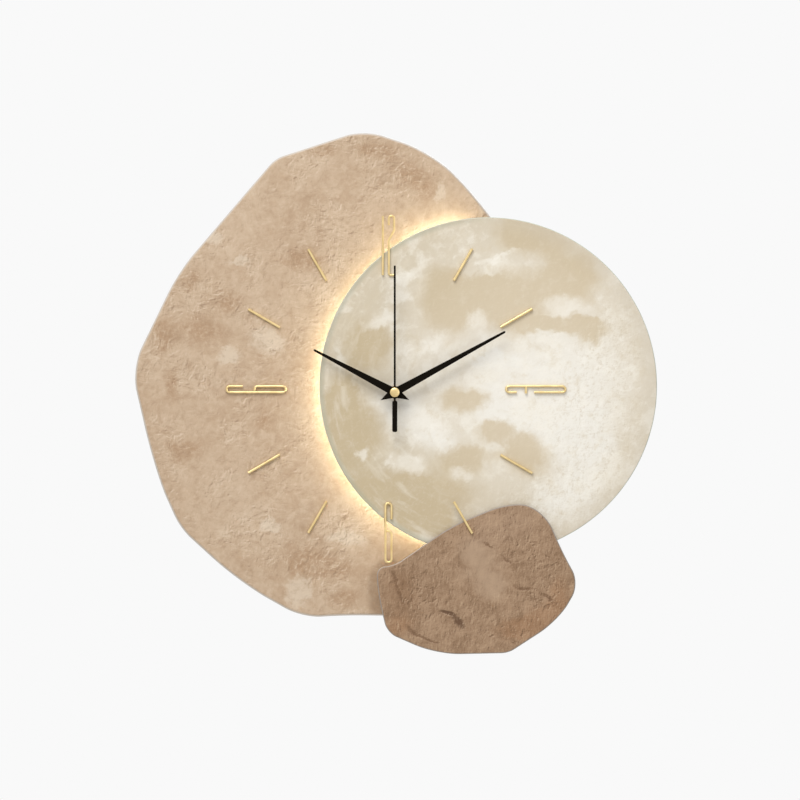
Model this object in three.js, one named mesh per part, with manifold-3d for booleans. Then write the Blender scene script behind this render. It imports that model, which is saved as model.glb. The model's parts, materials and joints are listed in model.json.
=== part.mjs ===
// Moon wall clock: a stone-print board, a lit moon disc standing off it, a pebble board, a quartz movement.
// Millimetres. Inside the group x runs right, y up and z out from the wall, measured from the hands' axis;
// the group is then turned so that +Z is up, the front looks along -Y and the hanging point is the origin.
import * as THREE from "three";
import { mergeVertices } from "three/addons/utils/BufferGeometryUtils.js";
import Module from "manifold-3d";

// Depth of the layers, from the wall outwards
const SEAT = 0.3; // film of glue, tape or slack between two pieces that seat on each other
const BATTEN_DEPTH = 19;
const STONE_THICK = 8;
const LIGHT_GAP = 12;
const MOON_THICK = 4;
const PEBBLE_THICK = 5;
const MARKER_THICK = 2.5;
const BOARD_ROUNDING = 1.2;

// Boards, each corner as [x, y, rounding]
const STONE_CORNERS = [
  [-29.6, 253, 21], [-115, 225.2, 9], [-208.1, 116.5, 25], [-253.8, 23, 25], [-230.2, -78.4, 57],
  [-206.3, -131.2, 15], [-149.6, -182.8, 43], [-89.1, -217.1, 21], [-47.8, -214.5, 19], [55, -215.7, 29],
  [106, -142, 57], [152, -7, 67], [131, 113, 48], [83.5, 182.5, 35], [37, 230.9, 35],
];
const PEBBLE_SHOULDER_Y = -165.5; // upper left corner, just below the 6
const PEBBLE_CORNERS = [
  [-17.7, -168, 9], [0.4, PEBBLE_SHOULDER_Y, 8], [55, -127.8, 19], [115, -103, 38],
  [145, -116.5, 17], [160.4, -152.3, 15], [177.3, -183.4, 16], [157, -218.8, 25],
  [109, -250, 7], [40.5, -251.5, 25], [-7.6, -230.5, 11], [-16, -193.5, 17],
];
const MOON_RADIUS = 162;
const MOON_X = 89.6;
const MOON_Y = 6;

// Hour markers, set out round a centre a little left of the hands' axis, as the photograph shows
const RING_X = -4.6;
const RING_Y = 1.3;
const BAR_INNER_RADIUS = 122.5;
const BAR_LENGTH = 35;
const BAR_WIDTH = 2.4;
const NUMERAL_HEIGHT = 59;
const NUMERAL_WIDTH = 8;
const NUMERAL_STROKE = 2.2;
const TWELVE_TOP_RADIUS = 169; // outer end of each numeral from the middle of the ring
const THREE_TOP_RADIUS = 169.3;
const NINE_TOP_RADIUS = 158.3;
const UPRIGHT_LEFT = 1.5; // the 12 and the 6 stand this far left of the middle of the ring
const LYING_RISE = 1.7; // the 3 and the 9 lie this far above it
const SIX_CLEARANCE = 1.3; // foot of the 6 to the pebble's shoulder
const STUB_LENGTH = 15.5; // short open ends of the 6 and 9
const THREE_STUB = 10; // short open end of the 3
const LOOP_LENGTH = 30; // closed loops of the 6 and 9 and the long open end of the 3
const THREE_BAR_DROP = 19; // middle bar of the 3, below its top
const TWELVE_GAP = 5.8; // between the stroke of the 1 and the nearer side of the 2
const TWO_WIDTH = 7.2;
const TWO_STUB = 9; // short open end of the 2
const TWO_BOWL = 13.5; // top of the 2 down to its slope
const TWO_SLOPE = 9.5;

// Hands, clockwise from twelve
const HOURS = 12;
const HOUR_ANGLE = 297.7;
const HOUR_LENGTH = 88;
const MINUTE_ANGLE = 61.2;
const MINUTE_LENGTH = 121;
const SECOND_LENGTH = 121.3;
const BLADE_ROOT_WIDTH = 7.4;
const BLADE_TIP_WIDTH = 2.1;
const TAIL_LENGTH = 15.6;
const TAIL_WIDTH = 8.6;
const SECOND_WIDTH = 1.9;
const SECOND_TAIL_START = 8;
const SECOND_TAIL_LENGTH = 38;
const SECOND_TAIL_WIDTH = 4.8;
const HAND_THICK = 0.8;
const HAND_STEP = 1.6; // free space from one hand to the next
const HAND_CLEARANCE = 1.2; // free space from the foremost marker to the hour hand
const HUB_RADIUS = 6;
const SECOND_HUB_RADIUS = 4;
const CAP_RADIUS = 4.6;
const CAP_HEIGHT = 2;

// Light behind the moon
const MOON_OVERHANG = 14; // moon edge to the outside of the light carrier
const CARRIER_THICK = 5;
const LIGHT_FROM = 97; // degrees round the moon, counter-clockwise from the right
const LIGHT_TO = 256;
const STRIP_THICK = 0.6;
const STRIP_WIDTH = 8;
const CHIP_COUNT = 26;
const CHIP_LENGTH = 3.5;
const CHIP_WIDTH = 2.8;
const CHIP_HEIGHT = 0.8;
const LEAD_RADIUS = 1.5;
const LEAD_SLACK = 1.2; // clearance round the lead where it passes through a wall
const LEAD_HOLE_ANGLE = 92;
const LEAD_BEND = 6;

// Blocks between the boards
const MOON_BLOCK = { x: 108, y: -10, wide: 24, high: 60 };
const PEBBLE_BLOCK = { x: 14, y: -196, wide: 34, high: 26 };

// Battens and hanger on the back
const HANGER_DROP = 150; // hanging point above the hands' axis
const TOP_BATTEN = { x: -20, wide: 180, high: 34 };
const BOTTOM_BATTEN = { x: -45, y: -178, wide: 150, high: 24 };
const HANGER_WIDE = 50;
const HANGER_HIGH = 26;
const HANGER_THICK = 1.5;
const HANGER_ROUNDING = 3;
const KEYHOLE_HEAD_RADIUS = 5.5;
const KEYHOLE_SLOT_RADIUS = 2.75;
const KEYHOLE_DROP = 10; // slot end to the middle of the head hole
const POCKET_DEPTH = 9; // free depth behind the hanger for the screw's head
const POCKET_MARGIN = 1.5;
const HANGER_SCREW_SPACING = 38;
const SCREW_LENGTH = 14;
const SCREW_RADIUS = 1.6;
const SCREW_HEAD_RADIUS = 3;
const SCREW_HEAD_HEIGHT = 1.5;
const SCREW_TIP = 2;

// Round cells, the same kind for the clock and for the light
const CELL_RADIUS = 7.1;
const CELL_LENGTH = 49.2;
const CELL_BUTTON_RADIUS = 2.75;
const CELL_BUTTON_HEIGHT = 1.3;
const CONTACT_THICK = 0.6;
const CONTACT_WIDE = 9;
const CONTACT_HIGH = 9;

// Battery box for the light
const BOX_X = 84;
const BOX_Y = -5;
const BOX_WALL = 2;
const BOX_FLOOR = 1.2;
const BOX_CELLS = 3;
const CELL_SPACING = 14.8;
const SWITCH_BAY = 5;
const LID_THICK = 1.2;
const LID_GROOVE = 1;
const LID_LIP = 1;
const LID_RIDGES = 4;
const LID_RIDGE_WIDTH = 1;
const LID_RIDGE_START = 13.2; // first ridge, from the middle of the box
const LID_RIDGE_SPACING = 2.4;
const LID_RIDGE_LENGTH = 18;
const LID_RIDGE_HEIGHT = 0.7;
const SWITCH_TRAVEL = 3.5;
const SWITCH_X = -14; // slot's middle, from the middle of the box
const SWITCH_NUB = 4;
const SWITCH_NUB_HIGH = 3;
const SWITCH_NUB_REACH = 1.6;
const SWITCH_PLATE_MARGIN = 1.2;
const SWITCH_PLATE_THICK = 1.2;

// Movement case
const GASKET_THICK = 1;
const GASKET_RADIUS = 9;
const CASE_SIDE = 56;
const CASE_DEPTH = 16.5;
const CASE_ROUNDING = 3;
const CASE_WALL = 1.5;
const CASE_FLOOR = 1.5;
const PLATE_THICK = 2;
const PLATE_SKIN = 0.8; // closed front of the plate over the pivot holes
const PLATE_LIP = 1; // rim of the plate inside the case wall
const BAY_SLACK = 0.5;
const PARTITION = 1;
const WINDOW_CLEARANCE = 2;
const BUSH_RADIUS = 4;
const WASHER_RADIUS = 5.8;
const WASHER_THICK = 0.6;
const NUT_SIDES = 6;
const NUT_ACROSS_FLATS = 10;
const NUT_THICK = 2.4;
const BUSH_OVER_NUT = 0.6;

// Shafts of the movement, one inside the other
const RUNNING_FIT = 0.2; // radial clearance of anything that turns
const PRESS_FIT = 0.15; // radial clearance where a piece is pushed on
const SECOND_ARBOR_RADIUS = 0.7;
const TUBE_WALL = 0.7;
const PIVOT_RADIUS = 0.6;
const PIVOT_DEPTH = 1;
const SETTING_ARBOR_RADIUS = 0.8;

// Wheel train; the wheels lie in five layers above the case floor
const FIRST_LAYER = 0.6;
const LAYER = { second: 0, third: 1, centre: 2, minute: 3, hour: 4 }; // wheels in order from the back
const LAYER_STEP = 2.3;
const WHEEL_THICK = 1.2;
const PINION_OVER = 0.2; // pinion beyond each face of the wheel it drives
const FLANGE_THICK = 0.4;
const FLANGE_RADIUS = 3.2;
const PRESSURE_ANGLE = THREE.MathUtils.degToRad(25);
const TOOTH_SLACK = 0.06; // taken off each flank
const WHEEL_TOOTH = { addendum: 0.5, dedendum: 1.15 }; // in modules
const PINION_TOOTH = { addendum: 0.9, dedendum: 0.8 };
const TRAIN_MODULE = 0.4;
const MOTION_MODULE = 0.55;
const ROTOR_LEAVES = 6;
const INTERMEDIATE_TEETH = 30;
const INTERMEDIATE_LEAVES = 8;
const SECOND_TEETH = 48;
const SECOND_LEAVES = 6;
const THIRD_TEETH = 45;
const THIRD_LEAVES = 6;
const CENTRE_TEETH = 48;
const CANNON_LEAVES = 10;
const MINUTE_TEETH = 30;
const MINUTE_LEAVES = 8;
const HOUR_TEETH = 32;
const THIRD_DIRECTION = THREE.MathUtils.degToRad(95);
const MINUTE_DIRECTION = THREE.MathUtils.degToRad(165);
const INTERMEDIATE_DIRECTION = THREE.MathUtils.degToRad(-5);
const ROTOR_DIRECTION = THREE.MathUtils.degToRad(50); // from the intermediate wheel
const KNOB_RADIUS = 6;
const KNOB_HEIGHT = 4;
const KNOB_SKIN = 1; // closed end of the knob over its socket
const KNOB_FLUTES = 12;
const KNOB_FLUTE_DEPTH = 0.6;

// Stepping motor and circuit
const MAGNET_RADIUS = 2.6;
const MAGNET_HEIGHT = 3.6;
const AIR_GAP = 0.5;
const STATOR_THICK = 1.2;
const POLE_RADIUS = 5.2;
const LIMB_WIDTH = 3;
const CORE_X = 21.8;
const YOKE_Y = 23;
const COIL_LENGTH = 11;
const COIL_MIDDLE_Y = 15.4;
const COIL_RADIUS = 3.4;
const BOBBIN_FLANGE = 0.8;
const BOBBIN_WALL = 0.5;
const POST_RADIUS = 1.3;
const BOARD_THICK = 1;
const BOARD_WIDE = 11;
const BOARD_HIGH = 15;
const CHIP_BLOB_RADIUS = 2;
const CHIP_BLOB_HEIGHT = 0.9;
const CRYSTAL_RADIUS = 0.9;
const CRYSTAL_LENGTH = 6;

// Fineness of curves
const CORNER_STEPS = 6;
const CORNER_SHARE = 0.49; // most of a side that the rounding of one corner takes
const BEVEL_STEPS = 2;
const DOME_STEPS = 4;
const MOON_SIDES = 96;
const ROUND_SIDES = 32;
const SHAFT_SIDES = 16;
const END_STEPS = 3;
const TURN_STEPS = 4;
const ARC_STEPS = 44;
const LEAD_SIDES = 8;
const LEAD_STEPS = 44;
const CUT_OVER = 1; // a cutting tool runs this far past the face it cuts

// Levels worked out from the depths
const stoneBack = BATTEN_DEPTH + SEAT;
const stoneFront = stoneBack + STONE_THICK;
const moonBack = stoneFront + LIGHT_GAP;
const moonFront = moonBack + MOON_THICK;
const pebbleBack = moonFront + SEAT;
const pebbleFront = pebbleBack + PEBBLE_THICK;
const foremostMarker = pebbleFront + SEAT + MARKER_THICK;
const hourHandBack = foremostMarker + HAND_CLEARANCE;
const minuteHandBack = hourHandBack + HAND_THICK + HAND_STEP;
const secondHandBack = minuteHandBack + HAND_THICK + HAND_STEP;
const secondHandFront = secondHandBack + HAND_THICK;
const gasketBack = moonBack - SEAT - GASKET_THICK;
const caseFront = gasketBack - SEAT;
const caseBack = caseFront - CASE_DEPTH;
const floorTop = caseBack + CASE_FLOOR;
const plateBack = caseFront - PLATE_THICK;
const washerBack = moonFront + SEAT;
const nutBack = washerBack + WASHER_THICK + SEAT;
const bushFront = nutBack + NUT_THICK + BUSH_OVER_NUT;

// Radii of the shafts, each tube round the one inside it
const cannonBore = SECOND_ARBOR_RADIUS + RUNNING_FIT;
const cannonRadius = cannonBore + TUBE_WALL;
const hourBore = cannonRadius + RUNNING_FIT;
const hourTubeRadius = hourBore + TUBE_WALL;
const bushBore = hourTubeRadius + RUNNING_FIT;
const clampBore = BUSH_RADIUS + SEAT;

// Places of the arbors, from the hands' axis
const polar = (radius, angle) => new THREE.Vector2(radius * Math.cos(angle), radius * Math.sin(angle));
const apart = (module, leaves, teeth) => (module * (leaves + teeth)) / 2;
const thirdDistance = apart(TRAIN_MODULE, THIRD_LEAVES, CENTRE_TEETH);
const fourthModule = thirdDistance / apart(1, SECOND_LEAVES, THIRD_TEETH);
const thirdAt = polar(thirdDistance, THIRD_DIRECTION);
const minuteAt = polar(apart(MOTION_MODULE, CANNON_LEAVES, MINUTE_TEETH), MINUTE_DIRECTION);
const intermediateDistance = apart(TRAIN_MODULE, INTERMEDIATE_LEAVES, SECOND_TEETH);
const intermediateAt = polar(intermediateDistance, INTERMEDIATE_DIRECTION);
const rotorDistance = apart(TRAIN_MODULE, ROTOR_LEAVES, INTERMEDIATE_TEETH);
const rotorAt = polar(rotorDistance, ROTOR_DIRECTION).add(intermediateAt);
const layer = (index) => floorTop + FIRST_LAYER + index * LAYER_STEP;

// Battery bay of the movement and the cells' places
const bayHalf = CELL_RADIUS + BAY_SLACK;
const bayY = CASE_WALL + bayHalf - CASE_SIDE / 2;
const cellFull = CELL_LENGTH + CELL_BUTTON_HEIGHT;

const wasm = await Module();
wasm.setup();

// Closed geometry as a solid, with its faces turned outwards
function toSolid(geometry) {
  const bare = geometry.clone();
  bare.deleteAttribute("normal");
  bare.deleteAttribute("uv");
  const merged = mergeVertices(bare);
  const triVerts = new Uint32Array(merged.index.array);
  const vertProperties = merged.attributes.position.array;
  const solid = new wasm.Manifold(new wasm.Mesh({ numProp: 3, vertProperties, triVerts }));
  if (solid.volume() > 0) return solid;
  for (let i = 0; i < triVerts.length; i += 3) triVerts.subarray(i, i + 3).reverse();
  return new wasm.Manifold(new wasm.Mesh({ numProp: 3, vertProperties, triVerts }));
}

function toGeometry(solid) {
  const { vertProperties, triVerts } = solid.getMesh();
  const geometry = new THREE.BufferGeometry();
  geometry.setAttribute("position", new THREE.BufferAttribute(vertProperties, 3));
  geometry.setIndex(new THREE.BufferAttribute(triVerts, 1));
  geometry.computeVertexNormals();
  return geometry;
}

const join = (...pieces) => toGeometry(pieces.map(toSolid).reduce((sum, piece) => sum.add(piece)));
const cut = (base, ...tools) =>
  toGeometry(tools.map(toSolid).reduce((rest, tool) => rest.subtract(tool), toSolid(base)));

// Outline drawing
const spot = (x, y) => new THREE.Vector2(x, y);

const circle = (radius, sides, centre = new THREE.Vector2()) =>
  Array.from({ length: sides }, (_, i) => polar(radius, (2 * Math.PI * i) / sides).add(centre));

function roundedOutline(corners) {
  const shape = new THREE.Shape();
  const points = corners.map(([x, y]) => new THREE.Vector2(x, y));
  corners.forEach(([x, y, rounding], index) => {
    const reach = (other) => {
      const share = Math.min(rounding / points[index].distanceTo(other), CORNER_SHARE);
      return points[index].clone().lerp(other, share);
    };
    const start = reach(points.at(index - 1));
    const end = reach(points[(index + 1) % points.length]);
    if (index === 0) shape.moveTo(start.x, start.y);
    else shape.lineTo(start.x, start.y);
    shape.quadraticCurveTo(x, y, end.x, end.y);
  });
  return shape;
}

function rectangle({ x = 0, y = 0, wide, high, rounding = 0 }) {
  const across = wide / 2;
  const up = high / 2;
  const corners = [[x - across, y - up], [x + across, y - up], [x + across, y + up], [x - across, y + up]];
  if (rounding > 0) return roundedOutline(corners.map((corner) => [...corner, rounding]));
  return new THREE.Shape(corners.map((corner) => new THREE.Vector2(...corner)));
}

// Straight stroke with round ends from one point to another
function stroke(from, to, width) {
  const along = Math.atan2(to.y - from.y, to.x - from.x);
  const end = (centre, start) =>
    Array.from({ length: END_STEPS + 1 }, (_, i) =>
      polar(width / 2, start + (Math.PI * i) / END_STEPS).add(centre));
  return new THREE.Shape([...end(to, along - Math.PI / 2), ...end(from, along + Math.PI / 2)]);
}

// Band round a centre between two angles in degrees
function band(inner, outer, from, to) {
  const arc = (radius) =>
    Array.from({ length: ARC_STEPS + 1 }, (_, i) =>
      polar(radius, THREE.MathUtils.degToRad(from + ((to - from) * i) / ARC_STEPS)));
  return new THREE.Shape([...arc(outer), ...arc(inner).reverse()]);
}

// Involute tooth outline; turn is the angle of the first tooth
function gear(teeth, module, tooth, turn) {
  const pitch = (teeth * module) / 2;
  const base = pitch * Math.cos(PRESSURE_ANGLE);
  const root = pitch - tooth.dedendum * module;
  const tip = pitch + tooth.addendum * module;
  const involute = (angle) => Math.tan(angle) - angle;
  const atPitch = Math.PI / (2 * teeth) - TOOTH_SLACK / pitch + involute(PRESSURE_ANGLE);
  const half = (radius) => atPitch - involute(Math.acos(base / Math.max(radius, base)));
  const flank = base > root ? [root, base, pitch, tip] : [root, tip];
  const points = [];
  for (let i = 0; i < teeth; i += 1) {
    const middle = turn + (2 * Math.PI * i) / teeth;
    flank.forEach((radius) => points.push(polar(radius, middle - half(radius))));
    flank.toReversed().forEach((radius) => points.push(polar(radius, middle + half(radius))));
  }
  return new THREE.Shape(points);
}

// First tooth of a wheel that meshes with a driver whose first tooth points along x
const meshTurn = (driverTeeth, direction, teeth) =>
  direction + Math.PI - (Math.PI - driverTeeth * direction) / teeth;

// Solids from outlines
function slab(shape, back, front, rounding = 0) {
  const settings = {
    depth: front - back - 2 * rounding,
    curveSegments: CORNER_STEPS,
    bevelEnabled: rounding > 0,
    bevelThickness: rounding,
    bevelSize: rounding,
    bevelOffset: -rounding,
    bevelSegments: BEVEL_STEPS,
  };
  return new THREE.ExtrudeGeometry(shape, settings).translate(0, 0, back + rounding);
}

const block = ({ x, y, wide, high }, back, front) => slab(rectangle({ x, y, wide, high }), back, front);

// Turned piece about z from [radius, z] points
function turned(profile, sides = SHAFT_SIDES) {
  const points = profile.map(([radius, level]) => new THREE.Vector2(radius, level));
  return new THREE.LatheGeometry(points, sides).rotateX(Math.PI / 2);
}

const rod = (radius, back, front, sides = SHAFT_SIDES) =>
  turned([[0, back], [radius, back], [radius, front], [0, front]], sides);

const tube = (bore, radius, back, front, sides = SHAFT_SIDES) =>
  turned([[bore, back], [radius, back], [radius, front], [bore, front], [bore, back]], sides);

const at = (place, geometry) => geometry.translate(place.x, place.y, 0);

// Finishes
const finish = (color, roughness, metalness = 0) =>
  new THREE.MeshStandardMaterial({ color, roughness, metalness });
const FINISHES = {
  stone: finish(0xc8b09a, 0.85),
  moon: finish(0xe4dac6, 0.6),
  pebble: finish(0x9f8570, 0.8),
  gold: finish(0xd9bd7f, 0.35, 1),
  black: finish(0x15130f, 0.45),
  wood: finish(0xcfae7e, 0.75),
  steel: finish(0xb9bcc0, 0.35, 1),
  brass: finish(0xc9a55a, 0.35, 1),
  copper: finish(0xb4683a, 0.4, 1),
  darkPlastic: finish(0x1d1e20, 0.55),
  whitePlastic: finish(0xf0eee8, 0.5),
  palePlastic: finish(0xdcd7c8, 0.5),
  rubber: finish(0x222222, 0.9),
  strip: finish(0xf6ead0, 0.5),
  board: finish(0x2f6b45, 0.6),
  cell: finish(0x3c4a58, 0.4),
};

const dial = new THREE.Group();

function addPiece(name, geometry, finishName) {
  const mesh = new THREE.Mesh(geometry, FINISHES[finishName].clone());
  mesh.name = name;
  dial.add(mesh);
}

// Boards
const moonAt = new THREE.Vector2(MOON_X, MOON_Y);
const carrierRadius = MOON_RADIUS - MOON_OVERHANG;
const stripRadius = carrierRadius + SEAT + STRIP_THICK;
const leadHole = polar(carrierRadius, THREE.MathUtils.degToRad(LEAD_HOLE_ANGLE)).add(moonAt);
const windowSide = CASE_SIDE + 2 * WINDOW_CLEARANCE;

function addBoards() {
  const stone = roundedOutline(STONE_CORNERS);
  const window = rectangle({ wide: windowSide, high: windowSide });
  const leadSlotEnd = leadHole.clone().sub(spot(0, LEAD_BEND));
  const leadSlot = stroke(leadHole, leadSlotEnd, 2 * (LEAD_RADIUS + LEAD_SLACK));
  const openings = [window, leadSlot].map((shape) =>
    slab(shape, stoneBack - CUT_OVER, stoneFront + CUT_OVER));
  addPiece("stone_board", cut(slab(stone, stoneBack, stoneFront, BOARD_ROUNDING), ...openings), "stone");

  const moon = new THREE.Shape(circle(MOON_RADIUS, MOON_SIDES, moonAt));
  const bushHole = rod(clampBore, moonBack - CUT_OVER, moonFront + CUT_OVER);
  addPiece("moon_disc", cut(slab(moon, moonBack, moonFront, BOARD_ROUNDING), bushHole), "moon");

  const pebble = roundedOutline(PEBBLE_CORNERS);
  addPiece("pebble_board", slab(pebble, pebbleBack, pebbleFront, BOARD_ROUNDING), "pebble");
  addPiece("moon_block", block(MOON_BLOCK, stoneFront + SEAT, moonBack - SEAT), "wood");
  addPiece("pebble_block", block(PEBBLE_BLOCK, stoneFront + SEAT, pebbleBack - SEAT), "wood");
}

// Light carrier, strip with its chips and the lead to the battery box
const chamberFront = moonBack - SEAT;
const chamberMiddle = (stoneFront + moonBack) / 2;

function addLight() {
  const carrier = band(carrierRadius - CARRIER_THICK, carrierRadius, LIGHT_FROM, LIGHT_TO);
  addPiece("light_carrier", at(moonAt, slab(carrier, stoneFront + SEAT, chamberFront)), "wood");

  const stripBack = chamberMiddle - STRIP_WIDTH / 2;
  const stripBand = band(carrierRadius + SEAT, stripRadius, LIGHT_FROM, LIGHT_TO);
  const strip = slab(stripBand, stripBack, stripBack + STRIP_WIDTH);
  const step = THREE.MathUtils.degToRad(LIGHT_TO - LIGHT_FROM) / CHIP_COUNT;
  const chips = Array.from({ length: CHIP_COUNT }, (_, i) => {
    const chip = new THREE.BoxGeometry(CHIP_HEIGHT + STRIP_THICK, CHIP_LENGTH, CHIP_WIDTH);
    chip.translate(stripRadius - STRIP_THICK / 2 + CHIP_HEIGHT / 2, 0, chamberMiddle);
    return chip.rotateZ(THREE.MathUtils.degToRad(LIGHT_FROM) + (i + 0.5) * step);
  });
  addPiece("light_strip", at(moonAt, join(strip, ...chips)), "strip");
}

// Hour markers
const numeralSide = (NUMERAL_WIDTH - NUMERAL_STROKE) / 2;
const numeralEnd = (NUMERAL_HEIGHT - NUMERAL_STROKE) / 2;
const halfTurn = (centreY, start, radius) =>
  Array.from({ length: TURN_STEPS + 1 }, (_, i) =>
    polar(radius, start + (Math.PI * i) / TURN_STEPS).add(spot(0, centreY)));

function strokes(...lines) {
  const alongLine = (line) => line.slice(1).map((point, i) => stroke(line[i], point, NUMERAL_STROKE));
  const shapes = lines.flatMap(alongLine);
  return join(...shapes.map((shape) => slab(shape, 0, MARKER_THICK)));
}

function sixOutline() {
  const side = numeralSide;
  const top = halfTurn(numeralEnd - side, 0, side);
  const bottom = halfTurn(side - numeralEnd, Math.PI, side);
  const loopTop = halfTurn(LOOP_LENGTH - numeralEnd - side, 0, side);
  return [spot(side, numeralEnd - STUB_LENGTH), ...top, ...bottom, ...loopTop];
}

function threeOutlines() {
  const side = numeralSide;
  const top = halfTurn(numeralEnd - side, 0, side).reverse();
  const bottom = halfTurn(side - numeralEnd, Math.PI, side).reverse();
  const barY = numeralEnd - THREE_BAR_DROP;
  return [
    [spot(-side, numeralEnd - THREE_STUB), ...top, ...bottom, spot(-side, LOOP_LENGTH - numeralEnd)],
    [spot(side, barY), spot(-side, barY)],
  ];
}

function twoOutline(leftX) {
  const side = (TWO_WIDTH - NUMERAL_STROKE) / 2;
  const top = halfTurn(numeralEnd - side, 0, side).reverse();
  const head = [spot(-side, numeralEnd - TWO_STUB), ...top];
  const slopeTop = numeralEnd - TWO_BOWL;
  const slope = [spot(side, slopeTop), spot(-side, slopeTop - TWO_SLOPE)];
  const foot = [spot(-side, -numeralEnd), spot(side, -numeralEnd)];
  return [...head, ...slope, ...foot].map((point) => point.add(spot(leftX + side, 0)));
}

const markerRing = new THREE.Vector2(RING_X, RING_Y);
const markerPlace = (hour, radius) =>
  polar(radius, Math.PI / 2 - (2 * Math.PI * hour) / HOURS).add(markerRing);
const MARKER_LEVEL = { stone: stoneFront + SEAT, moon: moonFront + SEAT, pebble: pebbleFront + SEAT };
const BARS_ON = { stone: [7, 8, 10, 11], moon: [1, 2, 4], pebble: [5] };

function addMarkers() {
  const inset = BAR_WIDTH / 2;
  for (const [carrier, hours] of Object.entries(BARS_ON)) {
    const level = MARKER_LEVEL[carrier];
    for (const hour of hours) {
      const inner = markerPlace(hour, BAR_INNER_RADIUS + inset);
      const outer = markerPlace(hour, BAR_INNER_RADIUS + BAR_LENGTH - inset);
      const bar = stroke(inner, outer, BAR_WIDTH);
      addPiece(`marker_${hour}`, slab(bar, level, level + MARKER_THICK), "gold");
    }
  }
  const place = (geometry, hour, topRadius, turn, carrier) => {
    const aside = turn === 0 ? spot(-UPRIGHT_LEFT, 0) : spot(0, LYING_RISE);
    const centre = markerPlace(hour, topRadius - NUMERAL_HEIGHT / 2).add(aside);
    return at(centre, geometry.rotateZ(turn)).translate(0, 0, MARKER_LEVEL[carrier]);
  };
  const oneX = -(TWELVE_GAP + TWO_WIDTH - NUMERAL_STROKE) / 2;
  const one = strokes([spot(oneX, -numeralEnd), spot(oneX, numeralEnd)]);
  const two = strokes(twoOutline(oneX + TWELVE_GAP));
  const three = strokes(...threeOutlines());
  const six = strokes(sixOutline());
  const nine = strokes(sixOutline().map((point) => point.negate()));
  addPiece("marker_12_one", place(one, 12, TWELVE_TOP_RADIUS, 0, "moon"), "gold");
  addPiece("marker_12_two", place(two, 12, TWELVE_TOP_RADIUS, 0, "moon"), "gold");
  addPiece("marker_3", place(three, 3, THREE_TOP_RADIUS, Math.PI / 2, "moon"), "gold");
  const sixTopRadius = RING_Y - PEBBLE_SHOULDER_Y - SIX_CLEARANCE;
  addPiece("marker_6", place(six, 6, sixTopRadius, 0, "moon"), "gold");
  addPiece("marker_9", place(nine, 9, NINE_TOP_RADIUS, -Math.PI / 2, "stone"), "gold");
}

// Hands
function bladeShape(length) {
  const root = BLADE_ROOT_WIDTH / 2;
  const tip = BLADE_TIP_WIDTH / 2;
  const tail = TAIL_WIDTH / 2;
  const blade = [spot(root, HUB_RADIUS), spot(tip, length - tip), spot(0, length)];
  const right = [spot(tail, -HUB_RADIUS / 2), ...blade];
  const left = right.slice(0, -1).reverse().map(({ x, y }) => spot(-x, y));
  return new THREE.Shape([spot(0, -TAIL_LENGTH), ...right, ...left]);
}

function addHands() {
  const hand = (length, bore, back, angle) => {
    const front = back + HAND_THICK;
    const solid = join(slab(bladeShape(length), back, front), rod(HUB_RADIUS, back, front, ROUND_SIDES));
    const hole = rod(bore + PRESS_FIT, back - CUT_OVER, front + CUT_OVER);
    return cut(solid, hole).rotateZ(-THREE.MathUtils.degToRad(angle));
  };
  addPiece("hour_hand", hand(HOUR_LENGTH, hourTubeRadius, hourHandBack, HOUR_ANGLE), "black");
  addPiece("minute_hand", hand(MINUTE_LENGTH, cannonRadius, minuteHandBack, MINUTE_ANGLE), "black");

  const blade = rectangle({ y: SECOND_LENGTH / 2, wide: SECOND_WIDTH, high: SECOND_LENGTH });
  const neck = rectangle({
    y: -SECOND_TAIL_START / 2,
    wide: SECOND_WIDTH,
    high: SECOND_TAIL_START + SECOND_WIDTH,
  });
  const tail = rectangle({
    y: -(SECOND_TAIL_START + SECOND_TAIL_LENGTH) / 2,
    wide: SECOND_TAIL_WIDTH,
    high: SECOND_TAIL_LENGTH - SECOND_TAIL_START,
    rounding: SECOND_WIDTH,
  });
  const flat = [blade, neck, tail].map((shape) => slab(shape, secondHandBack, secondHandFront));
  const hub = rod(SECOND_HUB_RADIUS, secondHandBack, secondHandFront, ROUND_SIDES);
  const hole = rod(SECOND_ARBOR_RADIUS + PRESS_FIT, secondHandBack - CUT_OVER, secondHandFront + CUT_OVER);
  addPiece("second_hand", cut(join(hub, ...flat), hole), "black");

  const capBack = secondHandFront + SEAT;
  const crown = capBack + CAP_HEIGHT / 2;
  const dome = Array.from({ length: DOME_STEPS }, (_, i) => {
    const angle = (Math.PI * i) / (2 * DOME_STEPS);
    return [CAP_RADIUS * Math.cos(angle), crown + (CAP_HEIGHT / 2) * Math.sin(angle)];
  });
  const profile = [[0, capBack], [CAP_RADIUS, capBack], ...dome, [0, capBack + CAP_HEIGHT]];
  addPiece("second_hand_cap", turned(profile, ROUND_SIDES), "gold");
}

// Movement: case, front plate and what clamps it to the moon disc
const insideHalf = CASE_SIDE / 2 - CASE_WALL;
const pivotHole = (place, radius = PIVOT_RADIUS) =>
  new THREE.Path(circle(radius + RUNNING_FIT, SHAFT_SIDES, place));
const statorBack = layer(LAYER.centre) + PINION_OVER;
const statorPosts = [spot(rotorAt.x - POLE_RADIUS + LIMB_WIDTH / 2, YOKE_Y), spot(CORE_X, YOKE_Y)];

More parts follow.
